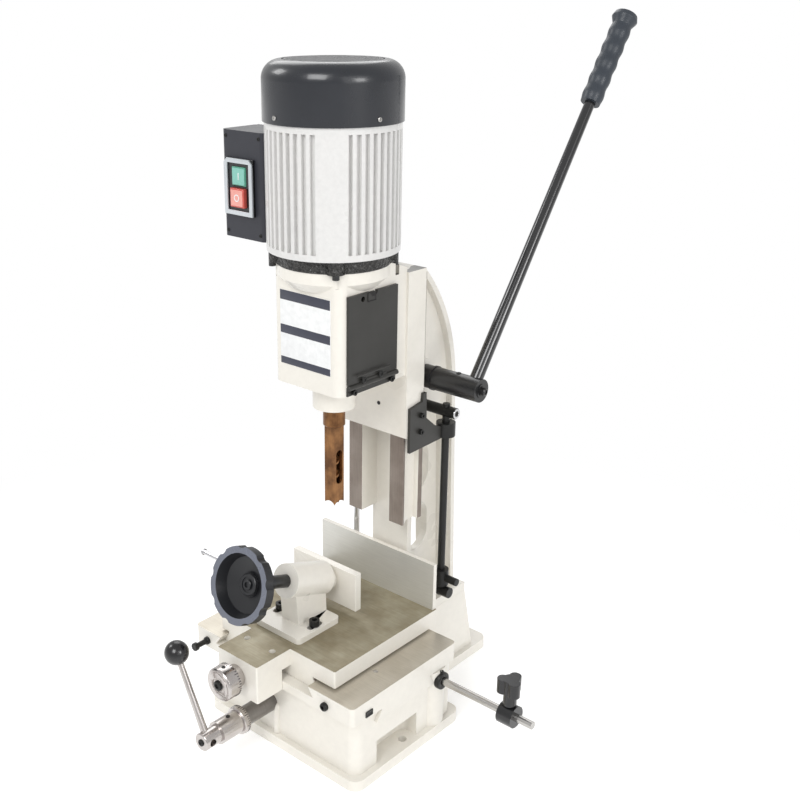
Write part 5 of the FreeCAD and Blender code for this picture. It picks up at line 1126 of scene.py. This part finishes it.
@dataclass
class StopTrim:
    """End ring and screw of the depth rod's upper pin."""

    pin_radius: float = 7.0

    def build(self) -> None:
        """Build the ring and its screw."""
        end = node_box("rod_supports")[1]
        spot = (end.x, middle("rod_supports").y, end.z - self.pin_radius)
        (ring_piece("pin_end_ring", 6.4, 3.6, 1.2).place(spot, RIGHT)
         .hand_over(CHROME, "base"))
        Screw("pin_end_screw", spot, RIGHT, 3.4, 0.8, "base").build()


@dataclass
class Studio:
    """Camera at the photograph's view, pale floor and soft light."""

    eye_mm: Point = (830.3, -887.8, 880.0)
    tilt_deg: float = 70.3
    turn_deg: float = 42.6
    lens_mm: float = 50.4
    sensor_mm: float = 36.0
    shift_x: float = 0.0713
    shift_y: float = -0.0188
    floor_half: float = 8.0
    fade_from: float = 0.30
    fade_to: float = 0.95
    sky: float = 0.50
    gloss_share: float = 0.35
    lamps: list[tuple[str, Point, float, float]] = field(
        default_factory=lambda: [
            ("Key light", (0.7, -2.4, 2.4), 1.4, 44.0),
            ("Strip light", (2.4, -0.15, 1.4), 0.7, 12.0),
            ("Left light", (-2.2, -0.9, 2.2), 0.9, 16.0),
            ("Fill light", (2.8, -0.6, 1.6), 2.0, 12.0),
            ("Back light", (-1.8, 1.6, 2.4), 1.8, 20.0),
        ])

    def build(self) -> None:
        """Make the camera, the floor, the lamps and the world."""
        self._camera()
        self._floor()
        self._lamps()
        self._world()
        LOG.info("studio ready")

    def _camera(self) -> None:
        """Camera with the photograph's place, tilt, lens and crop."""
        data = bpy.data.cameras.new("Camera")
        data.lens = self.lens_mm
        data.sensor_width = self.sensor_mm
        data.shift_x = self.shift_x
        data.shift_y = self.shift_y
        data.clip_end = 50.0
        camera = bpy.data.objects.new("Camera", data)
        camera.location = Vector(self.eye_mm) * MM
        camera.rotation_euler = (math.radians(self.tilt_deg), 0.0, math.radians(self.turn_deg))
        bpy.context.scene.collection.objects.link(camera)
        bpy.context.scene.camera = camera

    def _floor(self) -> None:
        """A plain pale floor that keeps the object's shadow and fades to white far from it."""
        clear_bench()
        bpy.ops.mesh.primitive_plane_add(size=2 * self.floor_half, location=(0, 0, 0))
        floor = bpy.context.active_object
        floor.name = "Floor"
        made = bpy.data.materials.new("Pale studio floor")
        made.use_nodes = True
        tree = made.node_tree
        tree.nodes.clear()
        place = add_node(tree, "TexCoord").outputs["Object"]
        far = add_node(tree, "VectorMath", {"operation": "LENGTH"}, Vector=place)
        share = add_node(tree, "MapRange", {"interpolation_type": "SMOOTHSTEP"},
                         Value=far.outputs["Value"], From_Min=self.fade_from, From_Max=self.fade_to,
                         To_Min=0.0, To_Max=1.0)
        card = add_node(tree, "BsdfDiffuse", Color=linear("#fbfbfb"), Roughness=0.0)
        lift = add_node(tree, "Emission", Color=linear("#ffffff"), Strength=0.25)
        near = add_node(tree, "AddShader", numbered={0: card, 1: lift})
        white = add_node(tree, "Emission", Color=linear("#ffffff"), Strength=1.0)
        blend = add_node(tree, "MixShader", numbered={0: share, 1: near, 2: white})
        add_node(tree, "OutputMaterial", Surface=blend)
        floor.data.materials.append(made)

    def _lamps(self) -> None:
        """Large soft area lamps aimed at the middle of the object."""
        aim = Vector((0.0, 0.0, 0.4))
        for name, place, size, power in self.lamps:
            data = bpy.data.lights.new(name, "AREA")
            data.size = size
            data.energy = power
            lamp = bpy.data.objects.new(name, data)
            lamp.location = Vector(place)
            lamp.rotation_euler = (aim - lamp.location).to_track_quat("-Z", "Y").to_euler()
            bpy.context.scene.collection.objects.link(lamp)

    def _world(self) -> None:
        """Soft sky that the camera and glass see as white; gloss sees it brightened by gloss_share.
        """
        world = bpy.data.worlds.new("Studio white")
        bpy.context.scene.world = world
        world.use_nodes = True
        tree = world.node_tree
        tree.nodes.clear()
        rays = add_node(tree, "LightPath")
        plain = add_node(tree, "Math", {"operation": "MAXIMUM"},
                         {0: rays.outputs["Is Camera Ray"], 1: rays.outputs["Is Transmission Ray"]})
        gloss = add_node(tree, "Math", {"operation": "MULTIPLY"},
                         {0: rays.outputs["Is Glossy Ray"], 1: self.gloss_share})
        seen = add_node(tree, "Math", {"operation": "MAXIMUM"}, {0: plain, 1: gloss})
        soft = add_node(tree, "Background", Color=linear("#ffffff"), Strength=self.sky)
        white = add_node(tree, "Background", Color=linear("#ffffff"), Strength=1.0)
        pick = add_node(tree, "MixShader", numbered={0: seen, 1: soft, 2: white})
        add_node(tree, "OutputWorld", Surface=pick)


def main() -> None:
    """Dress the frame, build the added pieces and set the studio."""
    logging.basicConfig(level=logging.INFO, format="%(name)s: %(message)s")
    bpy.ops.object.select_all(action="DESELECT")
    bpy.context.scene.view_settings.view_transform = "Standard"
    Studio().build()
    CadDressing().dress()
    for assembly in (MotorTrim(), SwitchTrim(), HeadTrim(), LeverTrim(), DialTrim(),
                     SaddleTrim(), BaseTrim(), WheelTrim(), StopTrim()):
        assembly.build()


if __name__ == "__main__":
    main()
